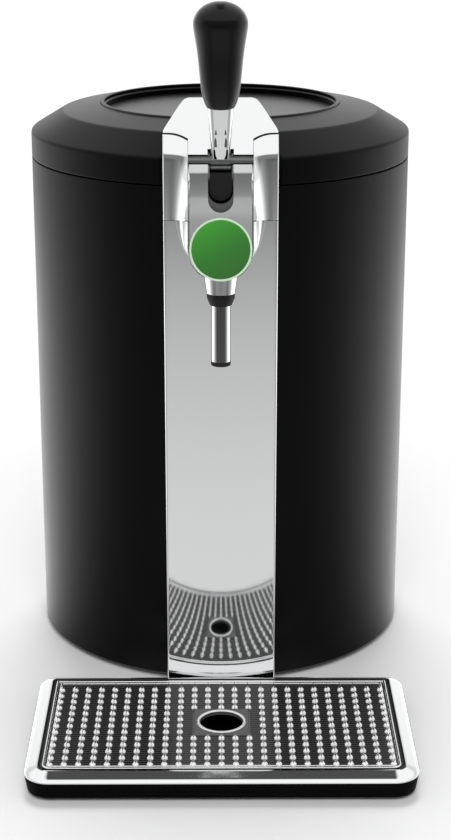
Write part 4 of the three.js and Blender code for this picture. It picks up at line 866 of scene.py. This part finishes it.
def crown_outline(drop, top, steps=12):
    """What is cut off above a post: the region over its crown, seen from the front."""
    bend, inner, level = COLUMN_HALF - POST_FLAT, INNER_HALF - HAIR, POST_TOP - drop
    shares = [k / steps for k in range(steps + 1)]
    curve = [(-bend - (inner - bend) * share, level - POST_SLOPE * share ** 2) for share in shares]
    return [(-COLUMN_HALF * 2, level)] + curve + [(-inner, top), (-COLUMN_HALF * 2, top)]


def duplicated(piece):
    alone(piece)
    bpy.ops.object.duplicate()
    return bpy.context.object


def mirrored(piece, name):
    """A copy of a piece on the other side of the middle plane."""
    other = duplicated(piece)
    other.name = name
    other.scale.x = -1
    return facing_out(settle(other))


def post_heights(lower_rows=40, upper_rows=18):
    """Levels of a post's sections: even below the start of its lean, and again above it."""
    low = PARTING - 8 * mm
    heights = [low + (LEAN_START - low) * k / lower_rows for k in range(lower_rows)]
    return heights + [LEAN_START + (POST_TOP - LEAN_START) * k / upper_rows for k in range(upper_rows + 1)]


def make_posts():
    """Both posts and the web behind them, with a strip of painted shade as the seam under the lid's nose.
    """
    post = lofted("tap_posts", [post_section(height) for height in post_heights()])
    sliced(post, parting_level(True), -PARTING_NORMAL)
    seam = duplicated(post)
    strip = crown_outline(0, 0)[:-2] + crown_outline(SEAM, 0)[-3::-1]
    common(seam, front_tool(strip))
    # The strip over each post's crown is painted black as shade in the seam
    for side in (seam, mirrored(seam, "post_seam_shade_right")):
        place(side, "body", "inner_black")
    carved(post, front_tool(crown_outline(SEAM, POST_TOP * 2)))
    other = mirrored(post, "tap_post_right")
    back, wall, edge = HOUSING_BACK, 1.9 * mm, 0.2 * mm
    web_low, web_high = TOP - 3 * mm, LEAN_START - 2 * mm
    web = block((-INNER_HALF, back - wall, web_low), (INNER_HALF, back, web_high))
    piece = joined(post, other, web)
    softened(piece, edge, 2, POST_CREASE)
    place(piece, "body", "chrome", "tap_housing")


def boss_ridge(up):
    """The ridge's section, from deep inside the U over its crest: (outwards, out of the front)."""
    deep, over_edge, pocket = 24 * mm, -1 * mm, POCKET_HALF - RIDGE_HALF
    fade_start, fade_end, fade_share = -4 * mm, -15 * mm, 0.84
    slope_out = -FACE_RECESS * math.cos(TILT) * (1 - fade_share * rising(up, fade_start, fade_end))
    inner = cornered((pocket, slope_out), (-RIDGE_WIDTH, 0), (0, 0), RIDGE_ROUND / 2)
    outer = cornered((-RIDGE_WIDTH, 0), (0, 0), (0, over_edge), RIDGE_ROUND)
    return [(pocket, -deep), (pocket, slope_out)] + inner + outer


def boss_station(across, up, way, steps=14):
    """A loop across the U, over its ridge and down its flank, with the way that points outwards there."""
    seat = 10 * mm
    loop = [tilted(across + way[0] * off, up + way[1] * off, out) for off, out in boss_ridge(up)]
    top = loop[-1]
    reach = boss_reach(tilted(across, up, 0).z)
    foot = tilted(across + way[0] * reach, up + way[1] * reach, 0)
    rise = skin_y(abs(top.x)) - top.y
    for k in range(1, steps + 1):
        share = 1 - k / steps
        spot = foot + (top - foot) * share
        spot.y = skin_y(abs(spot.x)) - rise * share ** FLANK_CURVE
        loop.append(spot)
    return loop + [loop[-1] + Vector((0, seat, 0))]


def make_boss(straight_rows=20):
    """The chrome boss: its ridge runs down one post, round under the badge and up the other."""
    extra = 12 * mm
    top = (PARTING - BADGE_HEIGHT + extra) / math.cos(TILT)
    straight = [RIDGE_RAISE + (top - RIDGE_RAISE) * (1 - k / straight_rows) for k in range(straight_rows)]
    stations = [(-RIDGE_HALF, up, (-1, 0)) for up in straight]
    for way in half_round(1, 0):
        stations.append((RIDGE_HALF * way[0], RIDGE_RAISE + RIDGE_HALF * way[1], way))
    stations += [(RIDGE_HALF, up, (1, 0)) for up in reversed(straight)]
    piece = lofted("badge_boss_skin", [boss_station(*station) for station in stations])
    sliced(piece, parting_level(False), PARTING_NORMAL)
    place(smooth(piece, BLUNT), "body", "chrome", "badge_boss")


def face_profile():
    """The face's side view, (y, height): a hollow front, a lip at the pin's recess and a square back."""
    low, bend = SEAL_LOW.z, PARTING + 6 * mm
    lip_high, lip_out, lip_deep, lip_round, joint_round = 4.2 * mm, 3.8 * mm, 2.5 * mm, 0.4 * mm, 4 * mm
    pin_front, back = PIN_LOW.y - GAP, PIVOT.y + 7.3 * mm
    lip_y, lip_low, hollow = pin_front - lip_out, FACE_TOP - lip_high, 1.75 * mm
    middle = (lip_y - hollow, (bend + lip_low) / 2)
    before = (2 * face_y(bend) - middle[0], 2 * bend - middle[1])
    after = (2 * lip_y - middle[0], 2 * lip_low - middle[1])
    rise = cornered(before, middle, after, WHOLE_SIDE, 16)
    chamfer_in, chamfer_up, brow_in = 2 * mm, 3.4 * mm, 2.6 * mm
    chamfer, brow = (lip_y + chamfer_in, lip_low + chamfer_up), (lip_y + brow_in, FACE_TOP)
    lip = cornered((lip_y, lip_low), chamfer, brow, lip_round)
    lip += cornered(chamfer, brow, (pin_front, FACE_TOP), lip_round) + [(pin_front, FACE_TOP)]
    joint = cornered((face_y(low), low), rise[0], rise[5], joint_round, 8)
    end = [(pin_front, FACE_TOP - lip_deep), (back, FACE_TOP - lip_deep), (back, low)]
    return [(face_y(low), low)] + joint + rise[6:] + lip + end


def make_face():
    """The satin face between the posts, with the U slot for the lever."""
    half, cut, edge = POCKET_HALF - FIT, 60 * mm, 0.2 * mm
    piece = prism("tap_plate", face_profile(), -half * 2, half * 2, "x")
    common(piece, u_tool(half, cut))
    high = FACE_TOP * 2
    slot = [(-SLOT_HALF, high)] + half_round(SLOT_HALF, SLOT_AXIS, 48) + [(SLOT_HALF, high)]
    carved(piece, front_tool(slot))
    softened(piece, edge, 2, BLUNT)
    place(piece, "body", "face_steel", "tap_face")


def make_slot():
    """A grey crescent of painted light for the lit wall at the slot's foot, and a dark sheet of painted
    shade behind it.
    """
    inset, thick, shift, slim = 1.2 * mm, 3 * mm, 4.4 * mm, 0.2 * mm
    lit_wall_y = face_y(SLOT_AXIS) + inset
    crescent = half_round(SLOT_HALF, SLOT_AXIS, 48)
    crescent += half_round(SLOT_HALF - slim, SLOT_AXIS + shift, 48)[::-1]
    # Painted light: the crescent stands for the slot's lit lower wall
    place(prism("slot_lit_wall", crescent, lit_wall_y, lit_wall_y + thick, "y"), "body", "sill_grey")
    half, top, lift = 7.1 * mm, PIVOT.z - 6.5 * mm, 5.7 * mm
    shade_sheet_y, sheet = PIVOT.y - 6.5 * mm, 1.5 * mm
    outline = half_round(half, SLOT_AXIS + lift, 48) + [(half, top), (-half, top)]
    # Painted shade: a dark sheet where the slot's inside is in shade
    place(prism("slot_shade_sheet", outline, shade_sheet_y, shade_sheet_y + sheet, "y"), "body", "shutter_grey")


def on_front(piece):
    """Turns a piece made about the origin to the badge's place on the tilted front."""
    piece.matrix_world = Matrix.Translation(tilted(0, 0, 0)) @ Matrix.Rotation(math.pi / 2 - TILT, 4, "X")
    return settle(piece)


def make_badge():
    """The domed green disc and the pale ring round it, whose pale tone is a painted highlight."""
    seat = -FACE_RECESS * math.cos(TILT) + GAP
    radius, high, dome = BADGE_RADIUS, 1.4 * mm, 0.5 * mm
    turns = [math.pi / 2 * k / 16 for k in range(16)]
    rise = [(radius * math.cos(a), seat + high + dome * math.sin(a)) for a in turns]
    disc = turned("badge", [(0, seat), (radius, seat)] + rise + [(0, seat + high + dome)], FINE, Vector())
    place(smooth(on_front(disc), BLUNT), "body", "badge_green", "badge_disc")
    rim_wide, rim_high, rim_round = 1.5 * mm, 1.9 * mm, 0.6 * mm
    inner, outer, top = radius + HAIR, radius + rim_wide, seat + rim_high
    section = [(inner, seat), (inner, top), (outer, top), (outer, seat)]
    hoop = turned("badge_rim", rounded(section, rim_round), FINE, Vector(), loop=True)
    # Painted highlight: the ring is a pale green-white paint
    place(smooth(on_front(hoop), BLUNT), "body", "rim_white", "badge_bezel")


def make_collar(bore):
    """The cone under the badge, cut off by the U."""
    low, top = SEAL_HIGH.z + 0.2 * mm, SEAL_HIGH.z + 13 * mm
    radius, edge, flare, cut = 9.5 * mm, 0.4 * mm, 0.3 * mm, 40 * mm
    section = [(bore, low), (radius, low), (radius + flare, low + edge), (COLLAR_TOP_RADIUS, top),
               (bore, top)]
    cone = turned("collar", section, FINE, SPOUT, loop=True)
    carved(cone, u_tool(RIDGE_HALF + HAIR, cut))
    place(smooth(cone, SEAMED), "body", "collar_chrome", "spout_collar")


def make_seal(bore):
    low, high, wide = SEAL_LOW.z, SEAL_HIGH.z, SEAL_HIGH.x
    band, foot, bend = 3.2 * mm, 0.5 * mm, 0.8 * mm
    section = [(bore, low), (bore + foot, low), (wide, high - band), (wide, high), (bore, high)]
    seal = turned("seal", rounded(section, bend), FINE, SPOUT, loop=True)
    place(smooth(seal, BLUNT), "body", "black_plastic", "spout_ring")


def make_spout():
    """The spout under the badge: collar, seal, pipe and tip."""
    bore, hole, tube, bend = 6.5 * mm, 4.6 * mm, TUBE_HIGH.x, 0.7 * mm
    make_collar(bore)
    make_seal(bore)
    low, high, end = TUBE_LOW.z, SEAL_HIGH.z + 1 * mm, TIP_FOOT
    pipe = turned("pipe", [(hole, low), (tube, low), (tube, high), (hole, high)], FINE, SPOUT, loop=True)
    place(smooth(pipe), "body", "spout_chrome", "spout_tube")
    section = rounded([(hole, low), (tube, low), (tube, end), (hole, end)], bend)
    tip = turned("tip", section, FINE, SPOUT, loop=True)
    place(smooth(tip, BLUNT), "body", "rubber_black", "spout_tip")


# Lid nose, lever and grip


def nose_front():
    """The nose seen from the front: its right side from the lever's slot up to the top, and its mirror."""
    notch, slot, inner = 3.3 * mm, SLOT_HALF + GAP, INNER_HALF - FIT
    edge, bend = COLUMN_HALF + LID_CLEAR, 6 * mm
    top, crest = NOSE_HIGH.z + GAP, NOSE_CREST + 1 * mm
    crown = [(-across, height) for across, height in crown_outline(0, top)[1:-2]]
    right = [(slot, LEAN_START + notch), (slot, LEAN_START), (inner, LEAN_START)] + crown[::-1]
    right += [(edge, POST_TOP), (edge, FOLD + GAP)]
    right += cornered((edge, FOLD), (crest, top), (0, top), bend, 8)
    return [(-across, height) for across, height in right[::-1]] + right


def make_nose():
    """The lid's nose: what its front, side and top views have in common."""
    low, back, extra = NOSE_LOW.y, NOSE_HIGH.y, 20 * mm
    fold_y, slope_end = low + 6.5 * mm, back - 6 * mm
    piece = prism("nose", nose_front(), low - OVERRUN, back, "y")
    side = [(low, 0), (low, LEAN_START), (fold_y, FOLD), (slope_end, NOSE_HIGH.z), (back, LID_HIGH.z),
            (back, 0)]
    common(piece, prism("tool", side, -RADIUS, RADIUS, "x"))
    wide, bend, edge = COLUMN_HALF - 0.05 * mm, 5 * mm, 0.4 * mm
    plan = [(-wide, low - extra), (wide, low - extra), (wide, fold_y), (NOSE_CREST, back),
            (-NOSE_CREST, back), (-wide, fold_y)]
    top_tool = prism("tool", rounded(plan, bend, 6, loop=True), 0, NOSE_HIGH.z * 2, "z")
    common(piece, top_tool)
    softened(piece, edge, 3, KEEN)
    place(piece, "lid", "chrome", "lid_nose")


def stem_size(height):
    """Half width, half depth and middle of the lever's stem at a height."""
    share = max(0, (height - PIVOT.z) / (STEM_HIGH.z - PIVOT.z))
    width = STEM_HIGH.x * (STEM_FOOT_SHARE + (1 - STEM_FOOT_SHARE) * share)
    depth = STEM_FOOT_DEPTH + (STEM_HEAD_DEPTH - STEM_FOOT_DEPTH) * share
    return width, depth, PIVOT.y - STEM_LEAN * share


def fuller(value):
    """A sine or cosine pushed outwards, which gives an ellipse fuller corners."""
    return math.copysign(abs(value) ** STEM_SWELL, value)


def stem_section(height, count=64):
    """A level loop round the stem at a height."""
    half, depth, middle = stem_size(height)
    turns = [math.tau * k / count for k in range(count)]
    return [Vector((half * fuller(math.cos(a)), middle + depth * fuller(math.sin(a)), height))
            for a in turns]


def painted_mark_row(side, up, inner, outer, steps=6):
    """One level of a painted mark, a thin sheet just proud of the stem's curved front."""
    proud, widest_share = 0.06 * mm, 0.985
    half, depth, middle = stem_size(PIVOT.z + up)
    row = []
    for k in range(steps + 1):
        across = inner + (outer - inner) * k / steps
        share = min(across / half, widest_share)
        y = middle - depth * (1 - share ** (2 / STEM_SWELL)) ** (STEM_SWELL / 2)
        row.append(Vector((side * across, y - proud, PIVOT.z + up)))
    return row


def stem_painted_mark(look, rows):
    """A painted mark at both sides of the stem's front, from its rows in millimetres."""
    thick = Vector((0, 1.5 * mm, 0))
    for side in (-1, 1):
        loops = []
        for row in rows:
            front = painted_mark_row(side, *(value * mm for value in row))
            loops.append(front + [point + thick for point in front[::-1]])
        place(lofted("stem_painted_mark", loops), "lever", look)


# Rows of the stem's painted marks in millimetres: height over the pivot, then inner and outer edge from the
# middle. Grey painted reflections near the tip and middle, black painted shade at the foot.

TIP_REFLECTION = (20.6, 2.8, 3.1), (17.4, 2.3, 3.9)
MIDDLE_REFLECTION = (15.6, 3.1, 3.4), (13.6, 2.6, 4.0), (9.4, 2.3, 4.0)
FOOT_SHADE = (7.6, 3.5, 4.7), (4.2, 3.2, 4.6), (1.6, 2.2, 4.2)


def make_stem(rows=48):
    low, high = PIVOT.z + 1.5 * mm, STEM_HIGH.z
    heights = [low + (high - low) * k / rows for k in range(rows + 1)]
    stem = lofted("stem", [stem_section(height) for height in heights])
    place(smooth(stem, BLUNT), "lever", "chrome", "lever_stem")
    # Grey painted reflections near the stem's tip and middle, black painted shade at its foot
    stem_painted_mark("sill_grey", TIP_REFLECTION)
    stem_painted_mark("sill_grey", MIDDLE_REFLECTION)
    stem_painted_mark("inner_black", FOOT_SHADE)


def on_pin(piece, centre):
    """Lays a piece made upright about the origin along the pin, and gives it the lever's dark steel."""
    piece.matrix_world = Matrix.Translation(centre) @ Matrix.Rotation(math.pi / 2, 4, "Y")
    place(smooth(piece, BLUNT), "lever", "dark_steel")


def make_lever():
    """The stem, its hub on the pin, the roller under it and the finger that lifts the plunger."""
    make_stem()
    half, bend = HUB_HALF, 0.9 * mm
    section = [(HUB_BORE, -half), (HUB_RADIUS, -half), (HUB_RADIUS, half), (HUB_BORE, half)]
    on_pin(turned("hub", rounded(section, bend), FINE, Vector(), loop=True), PIVOT)
    ahead, below = 1.6 * mm, 4.3 * mm
    section = [(0, -half), (ROLLER_RADIUS, -half), (ROLLER_RADIUS, half), (0, half)]
    on_pin(turned("roller", section, 40, Vector()), PIVOT - Vector((0, ahead, below)))
    make_finger()


def make_finger():
    tip, low, edge = FINGER_TIP, STEM_LOW.z, 0.5 * mm
    start, end = PIVOT.y, PIVOT.y + FINGER_REACH
    outline = [(start, PIVOT.z + tip), (start, PIVOT.z - tip), (end - tip, low + tip / 2), (end, low),
               (end + tip, low + tip), (end, low + tip * 2)]
    piece = prism("finger", outline, -FINGER_HALF, FINGER_HALF, "x")
    # The finger sits in the slot's shade and is painted a dark grey as shade
    place(softened(piece, edge, 2, KEEN), "lever", "inner_grey")


# The grip's outline as shares of its height and of its half width

GRIP_SHARES = [
    (0.0, 0.2), (0.004, 0.42), (0.02, 0.52), (0.06, 0.585), (0.12, 0.66), (0.2, 0.715), (0.3, 0.758),
    (0.42, 0.8), (0.52, 0.84), (0.6, 0.885), (0.68, 0.935), (0.74, 0.975), (0.785, 1.0), (0.83, 0.985),
    (0.87, 0.93), (0.905, 0.84), (0.935, 0.73), (0.965, 0.565), (0.985, 0.38), (0.997, 0.17),
]


def make_grip():
    """The pear-shaped grip, a little flatter from front to back."""
    flat_share = 0.84
    low, high, half = GRIP_LOW.z, GRIP_HIGH.z, GRIP_HIGH.x
    centre = Vector((0, (GRIP_LOW.y + GRIP_HIGH.y) / 2, 0))
    profile = [(across * half, low + up * (high - low)) for up, across in GRIP_SHARES]
    piece = turned("grip", [(0, low)] + profile + [(0, high)], SMALL_SIDES, centre)
    modified(piece, "SUBSURF", levels=1, render_levels=1)
    edit(piece)
    bpy.ops.transform.resize(value=(1, flat_share, 1), center_override=centre)
    leave()
    place(smooth(piece, GRIP_CREASE), "lever", "grip_gloss", "lever_grip")


# Drip tray


def tray_loop(inset, height, steps=14):
    """A level loop with four round corners, drawn inwards from the tray's outer edge."""
    half, front, back = RIM_HIGH.x - inset, RIM_LOW.y + inset, RIM_HIGH.y - inset
    front_round = max(TRAY_FRONT_ROUND - inset, TRAY_LEAST_ROUND)
    back_round = max(TRAY_BACK_ROUND - inset, TRAY_LEAST_ROUND)
    corners = [(-1, front + front_round, front_round, 2), (1, front + front_round, front_round, 3),
               (1, back - back_round, back_round, 0), (-1, back - back_round, back_round, 1)]
    loop = []
    for side, centre, radius, quarter in corners:
        for k in range(steps + 1):
            angle = (quarter + k / steps) * math.pi / 2
            across = side * (half - radius) + radius * math.cos(angle)
            loop.append(Vector((across, centre + radius * math.sin(angle), height)))
    return loop


def tray_hoop(name, profile):
    """A piece that runs round the tray with one profile of (inset, height) points."""
    return lofted(name, [tray_loop(inset, height) for inset, height in profile], endless=True)


# The rim's outer edge in millimetres: inwards from the tray's outline, up from the rim's foot

RIM_EDGE = (1.2, 0), (0, 0.8), (0.3, 1.5), (1, 2.2), (2.4, 3.2)


def tray_depth(spot):
    """How far a place lies inwards of the tray's outline."""
    return min(RIM_HIGH.x - abs(spot.x), spot.y - RIM_LOW.y, RIM_HIGH.y - spot.y)


def make_rim():
    """The chrome rim: a thin bright edge, a slope, a narrow crest and a ledge for the plate, with painted
    shade on the ledge.
    """
    lip, top = RIM_LOW.z, RIM_HIGH.z
    ledge, foot, bend, margin = lip + 3.3 * mm, 4 * mm, 0.8 * mm, 0.4 * mm
    inner, end = RIM_SLOPE + RIM_CREST, RIM_SLOPE + RIM_CREST + RIM_STEP
    edge = [(across * mm, lip + up * mm) for across, up in RIM_EDGE]
    outside = rounded(edge + [(RIM_SLOPE, top), (inner, top), (inner, ledge), (end, ledge)], bend)
    under = [(end, ledge - RIM_WALL), (RIM_SLOPE, ledge - RIM_WALL), (foot, lip)]
    rim = tray_hoop("rim_skin", outside + under)
    place(smooth(rim, SEAMED), "tray", "chrome", "tray_rim")
    # Painted shade: the ledge inside the crest is a dark grey, as shade in the groove
    tinted(rim, "groove_grey", lambda face: tray_depth(face.center) > inner - margin)


def make_tray():
    """The black pan under the rim, with its feet and its tongue."""
    draft, inset, side, edge, chamfer = 1.5 * mm, 0.8 * mm, 2.2 * mm, 1.2 * mm, 1 * mm
    under, floor_top, rim_low = BASE_LOW.z + 1.6 * mm, BASE_LOW.z + 3.6 * mm, BASE_HIGH.z
    shoulder, brim = rim_low + 0.8 * mm, rim_low + 1.1 * mm
    profile = [(inset + draft + edge, under), (inset + draft, under + chamfer), (inset / 2, shoulder),
               (inset, brim), (inset + side, brim), (inset + side + draft, floor_top)]
    pan = lofted("tray_skin", [tray_loop(*station) for station in profile])
    place(smooth(joined(pan, *tray_feet())), "tray", "tray_black", "tray_base")


def tray_feet():
    """The four round feet under the tray and the tongue that slides under the column."""
    inset, radius, edge, high = 18 * mm, 7 * mm, 0.6 * mm, 2 * mm
    low, across = BASE_LOW.z, RIM_HIGH.x - inset
    section = [(0, low), (radius - edge, low), (radius, low + edge), (radius, low + high), (0, low + high)]
    feet = [turned("tool", section, 40, Vector((x, y, 0)))
            for x in (-across, across) for y in (RIM_LOW.y + inset, RIM_HIGH.y - inset)]
    tongue_half, tongue_low, tongue_high, overlap = 26 * mm, 5 * mm, 11.5 * mm, 6 * mm
    start = RIM_HIGH.y - overlap
    return feet + [block((-tongue_half, start, tongue_low), (tongue_half, BASE_HIGH.y, tongue_high))]


# The plate's two rolls in millimetres: inwards from its edge, width, height over the sheet

PLATE_ROLLS = (0, 1.9, 1.1), (2.9, 1.7, 0.9)

# A dimple's levels as shares of its outline and of its height

DIMPLE_SHARES = (1.0, 0), (0.94, 0.3), (0.76, 0.62), (0.48, 0.88), (0.16, 1.0)


def bead(start, wide, low, high):
    """A profile round the tray with a half-round top."""
    seat, end = low + 0.2 * mm, start + wide
    over = rounded([(start, seat), (start, high), (end, high), (end, seat)], wide / 2, 6)
    return [(start, low)] + over + [(end, low)]


def make_pad():
    """The flat pad round the middle hole."""
    sunk, proud, edge = 0.5 * mm, 0.8 * mm, 0.4 * mm
    low, high = SHEET_TOP - sunk, SHEET_TOP + proud
    pad = block((-PAD_HALF, HOLE_Y - PAD_DEEP, low), (PAD_HALF, HOLE_Y + PAD_DEEP, high))
    return softened(pad, edge, 3)


def make_grille():
    """The drip plate: two rolls round its edge, rows of dimples, and a pad with a ringed hole."""
    low, sheet, centre = GRILLE_LOW.z, SHEET_TOP, Vector((0, HOLE_Y, 0))
    plate = lofted("grille_skin", [tray_loop(PLATE_INSET, low), tray_loop(PLATE_INSET, sheet)])
    rolls = [tray_hoop("tool", bead(PLATE_INSET + start * mm, wide * mm, low, sheet + rise * mm))
             for start, wide, rise in PLATE_ROLLS]
    pad = make_pad()
    for piece in (plate, pad):
        hole = [(0, 0), (HOLE_RADIUS, 0), (HOLE_RADIUS, sheet * 2), (0, sheet * 2)]
        carved(piece, turned("tool", hole, FINE, centre))
    inner, outer, high, bend = HOLE_RADIUS - 0.5 * mm, HOLE_RADIUS + 1.8 * mm, sheet + 1.7 * mm, 1 * mm
    section = rounded([(inner, low), (inner, high), (outer, high), (outer, sheet)], bend)
    ring = turned("tool", section, FINE, centre, loop=True)
    piece = joined(plate, *rolls, pad, ring, make_dimples())
    place(smooth(piece, SEAMED), "grille", "grille_steel", "drip_grille")


def dimple_point(angle, wide):
    """A point of a dimple's outline: round in front and drawn out to a point at the back."""
    back_share, front_share = 2.05, 1.15
    ahead = math.sin(angle)
    reach = ahead * (back_share if ahead > 0 else front_share)
    return Vector((math.cos(angle) * (1 - max(ahead, 0) / 2), reach, 0)) * (DIMPLE_RADIUS * wide)


def repeated(piece, count, step):
    return modified(piece, "ARRAY", count=count, use_relative_offset=False, use_constant_offset=True,
                    constant_offset_displace=step)


def on_pad(spot):
    margin = DIMPLE_RADIUS / 2
    return abs(spot.x) < PAD_HALF + margin and abs(spot.y - HOLE_Y) < PAD_DEEP + margin


def make_dimples(sides=12):
    """Rows of pointed dimples, left out over the pad."""
    low = SHEET_TOP - HAIR
    start = Vector((-(DIMPLE_COLUMNS - 1) / 2 * DIMPLE_PITCH_X, DIMPLE_FRONT, 0))
    turns = [math.tau * k / sides for k in range(sides)]
    levels = [(wide, start + Vector((0, 0, low + DIMPLE_HEIGHT * up))) for wide, up in DIMPLE_SHARES]
    piece = lofted("dimples", [[middle + dimple_point(a, wide) for a in turns] for wide, middle in levels])
    repeated(piece, DIMPLE_COLUMNS, (DIMPLE_PITCH_X, 0, 0))
    repeated(piece, DIMPLE_ROWS, (0, DIMPLE_PITCH_Y, 0))
    edit(piece)
    bpy.ops.mesh.select_all(action="DESELECT")
    leave()
    for face in piece.data.polygons:
        column = round((face.center.x - start.x) / DIMPLE_PITCH_X)
        row = round((face.center.y - start.y) / DIMPLE_PITCH_Y)
        face.select = on_pad(start + Vector((column * DIMPLE_PITCH_X, row * DIMPLE_PITCH_Y, 0)))
    bpy.ops.object.mode_set(mode="EDIT")
    bpy.ops.mesh.delete(type="FACE")
    return leave()


# Pieces that keep the frame's own shape


EDGE = 0.3 * mm
EDGES = {"rubber_black": 0.5 * mm, "chrome": 0.35 * mm, "polished_steel": 0.2 * mm, "satin_steel": EDGE}
# Frame nodes deep in the tap, painted black as shade in place of their own finish
SHADED_NODES = "pinch_block", "pinch_plunger", "column_chassis"


def make_copies():
    """Copies of the nodes that nothing has replaced yet, with their hard edges rounded."""
    shown = [node for node in frame["nodes"] if not frame["nodes"][node].hide_render]
    for node in shown:
        piece = copy_of(node, node + "_skin")
        softened(piece, EDGES.get(SLOTS[node], EDGE), 2, COPY_CREASE)
        look = "inner_black" if node in SHADED_NODES else SLOTS[node]
        place(piece, BODIES[node], look, node)


# Studio and camera


def surroundings(look):
    """What polished pieces see of the room: dark low in front, bright behind, and a dark patch above."""
    x, y, z = look.axes(WORLD_PLACE)
    behind = (y + 1) * 0.5
    front = look.ramp(z, (0.0, 0.2), (0.27, 0.22), (0.4, 1.0), (1.0, 1.0))
    back = look.ramp(z, (0.0, 0.85), (0.18, 1.15), (0.4, 0.75), (0.52, 0.7), (0.62, 1.0), (1.0, 1.0))
    room = look.blend(look.ramp(behind, (0.25, 0.0), (0.47, 1.0)), front, back)
    narrow = look.ramp(abs(x), (0.12, 1.0), (0.15, 0.6), (0.2, 0.0))
    high = look.ramp(z, (0.6, 0.0), (0.75, 1.0))
    overhead = high * look.ramp(behind, (0.42, 0.0), (0.5, 1.0), (0.8, 1.0), (0.87, 0.0))
    return look.blend(narrow * overhead, room, grey(0.075))


def studio():
    """A plain room: white to the camera, a soft even light, and its own tones for reflections."""
    scene = bpy.context.scene
    scene.view_settings.view_transform = "Standard"
    scene.world = bpy.data.worlds.new("studio")
    look = Look(scene.world)
    path = look.node("LightPath")
    lit = look.blend(path.part("Is Glossy Ray"), grey(0.42), surroundings(look))
    seen = look.blend(path.part("Is Camera Ray"), lit, grey(1.0))
    look.end("World", look.node("Background", {}, seen))


def floor_shine(look):
    """The tone in which polished pieces see the floor, by distance and direction from the barrel."""
    reach = 2.4
    x, y, _ = look.axes()
    ahead = AXIS.y - y
    distance = look.node("Math", {"operation": "SQRT"}, x * x + ahead * ahead) / reach
    turn = abs(look.node("Math", {"operation": "ARCTAN2"}, x, ahead)) / math.pi
    near = look.ramp(distance, (0.0, 0.85), (0.2, 0.8), (0.3, 0.72), (0.45, 0.6), (0.6, 0.46), (0.75, 0.3),
                     (0.85, 0.2), (1.0, 0.12))
    aside = look.ramp(turn, (0.0, 0.0), (0.19, 0.115), (0.24, 0.15), (0.34, 0.26), (0.42, 0.52),
                      (0.5, 0.82), (0.62, 1.0), (0.8, 0.85), (1.0, 0.5))
    fading = look.ramp(distance, (0.42, 1.0), (0.72, 0.55))
    scaled = look.node("VectorMath", {"operation": "SCALE"}, aside, Scale=2.5 * fading)
    return look.blend(look.ramp(turn, (0.14, 1.0), (0.22, 0.0)), scaled, near)


def floor():
    """A white floor, which polished pieces see in tones of its own."""
    size = 14
    bpy.ops.object.select_all(action="DESELECT")
    bpy.ops.mesh.primitive_plane_add(size=size, location=(0, 0, 0))
    ground = bpy.context.object
    ground.name = "floor"
    owner = bpy.data.materials.new("floor_white")
    look = Look(owner)
    shine = look.node("Emission", {}, floor_shine(look))
    matt = look.node("BsdfDiffuse", {}, grey(0.93))
    path = look.node("LightPath")
    look.end("Material", look.node("MixShader", {}, path.part("Is Glossy Ray"), matt, shine))
    ground.data.materials.append(owner)


def linked(name, data):
    """An object for a lamp or a camera, in the scene."""
    made = bpy.data.objects.new(name, data)
    bpy.context.scene.collection.objects.link(made)
    return made


def sun(name, direction, strength, spread):
    data = bpy.data.lights.new(name, "SUN")
    data.energy, data.angle = strength, math.radians(spread)
    made = linked(name, data)
    made.rotation_euler = Vector(direction).to_track_quat("-Z", "Y").to_euler()
    made.visible_glossy = False


def camera():
    """In front of the object, above it, and turned a little towards +X."""
    aside, ahead, high = -2.64 * mm, 1310.6 * mm, 577.2 * mm
    pitch, yaw = math.radians(18.07), math.radians(0.28)
    focal_pixels, frame_pixels = 1853, 840
    data = bpy.data.cameras.new("camera")
    data.sensor_width = 36
    data.lens = focal_pixels * data.sensor_width / frame_pixels
    data.clip_start, data.clip_end = 0.05, 20
    made = linked("camera", data)
    made.location = Vector((aside, AXIS.y - ahead, high))
    forward = Vector((math.sin(yaw) * math.cos(pitch), math.cos(yaw) * math.cos(pitch), -math.sin(pitch)))
    made.rotation_euler = forward.to_track_quat("-Z", "Y").to_euler()
    bpy.context.scene.camera = made


make_barrel()
make_lid()
make_lid_ring()
make_lid_disc()
make_panel()
make_posts()
make_boss()
make_face()
make_slot()
make_badge()
make_spout()
make_nose()
make_lever()
make_grip()
make_rim()
make_tray()
make_grille()
make_copies()
studio()
floor()
sun("front_light", (0.0, 0.8, -1), 1.05, 30)
sun("back_light", (0.0, -0.6, -1), 1.62, 30)
camera()
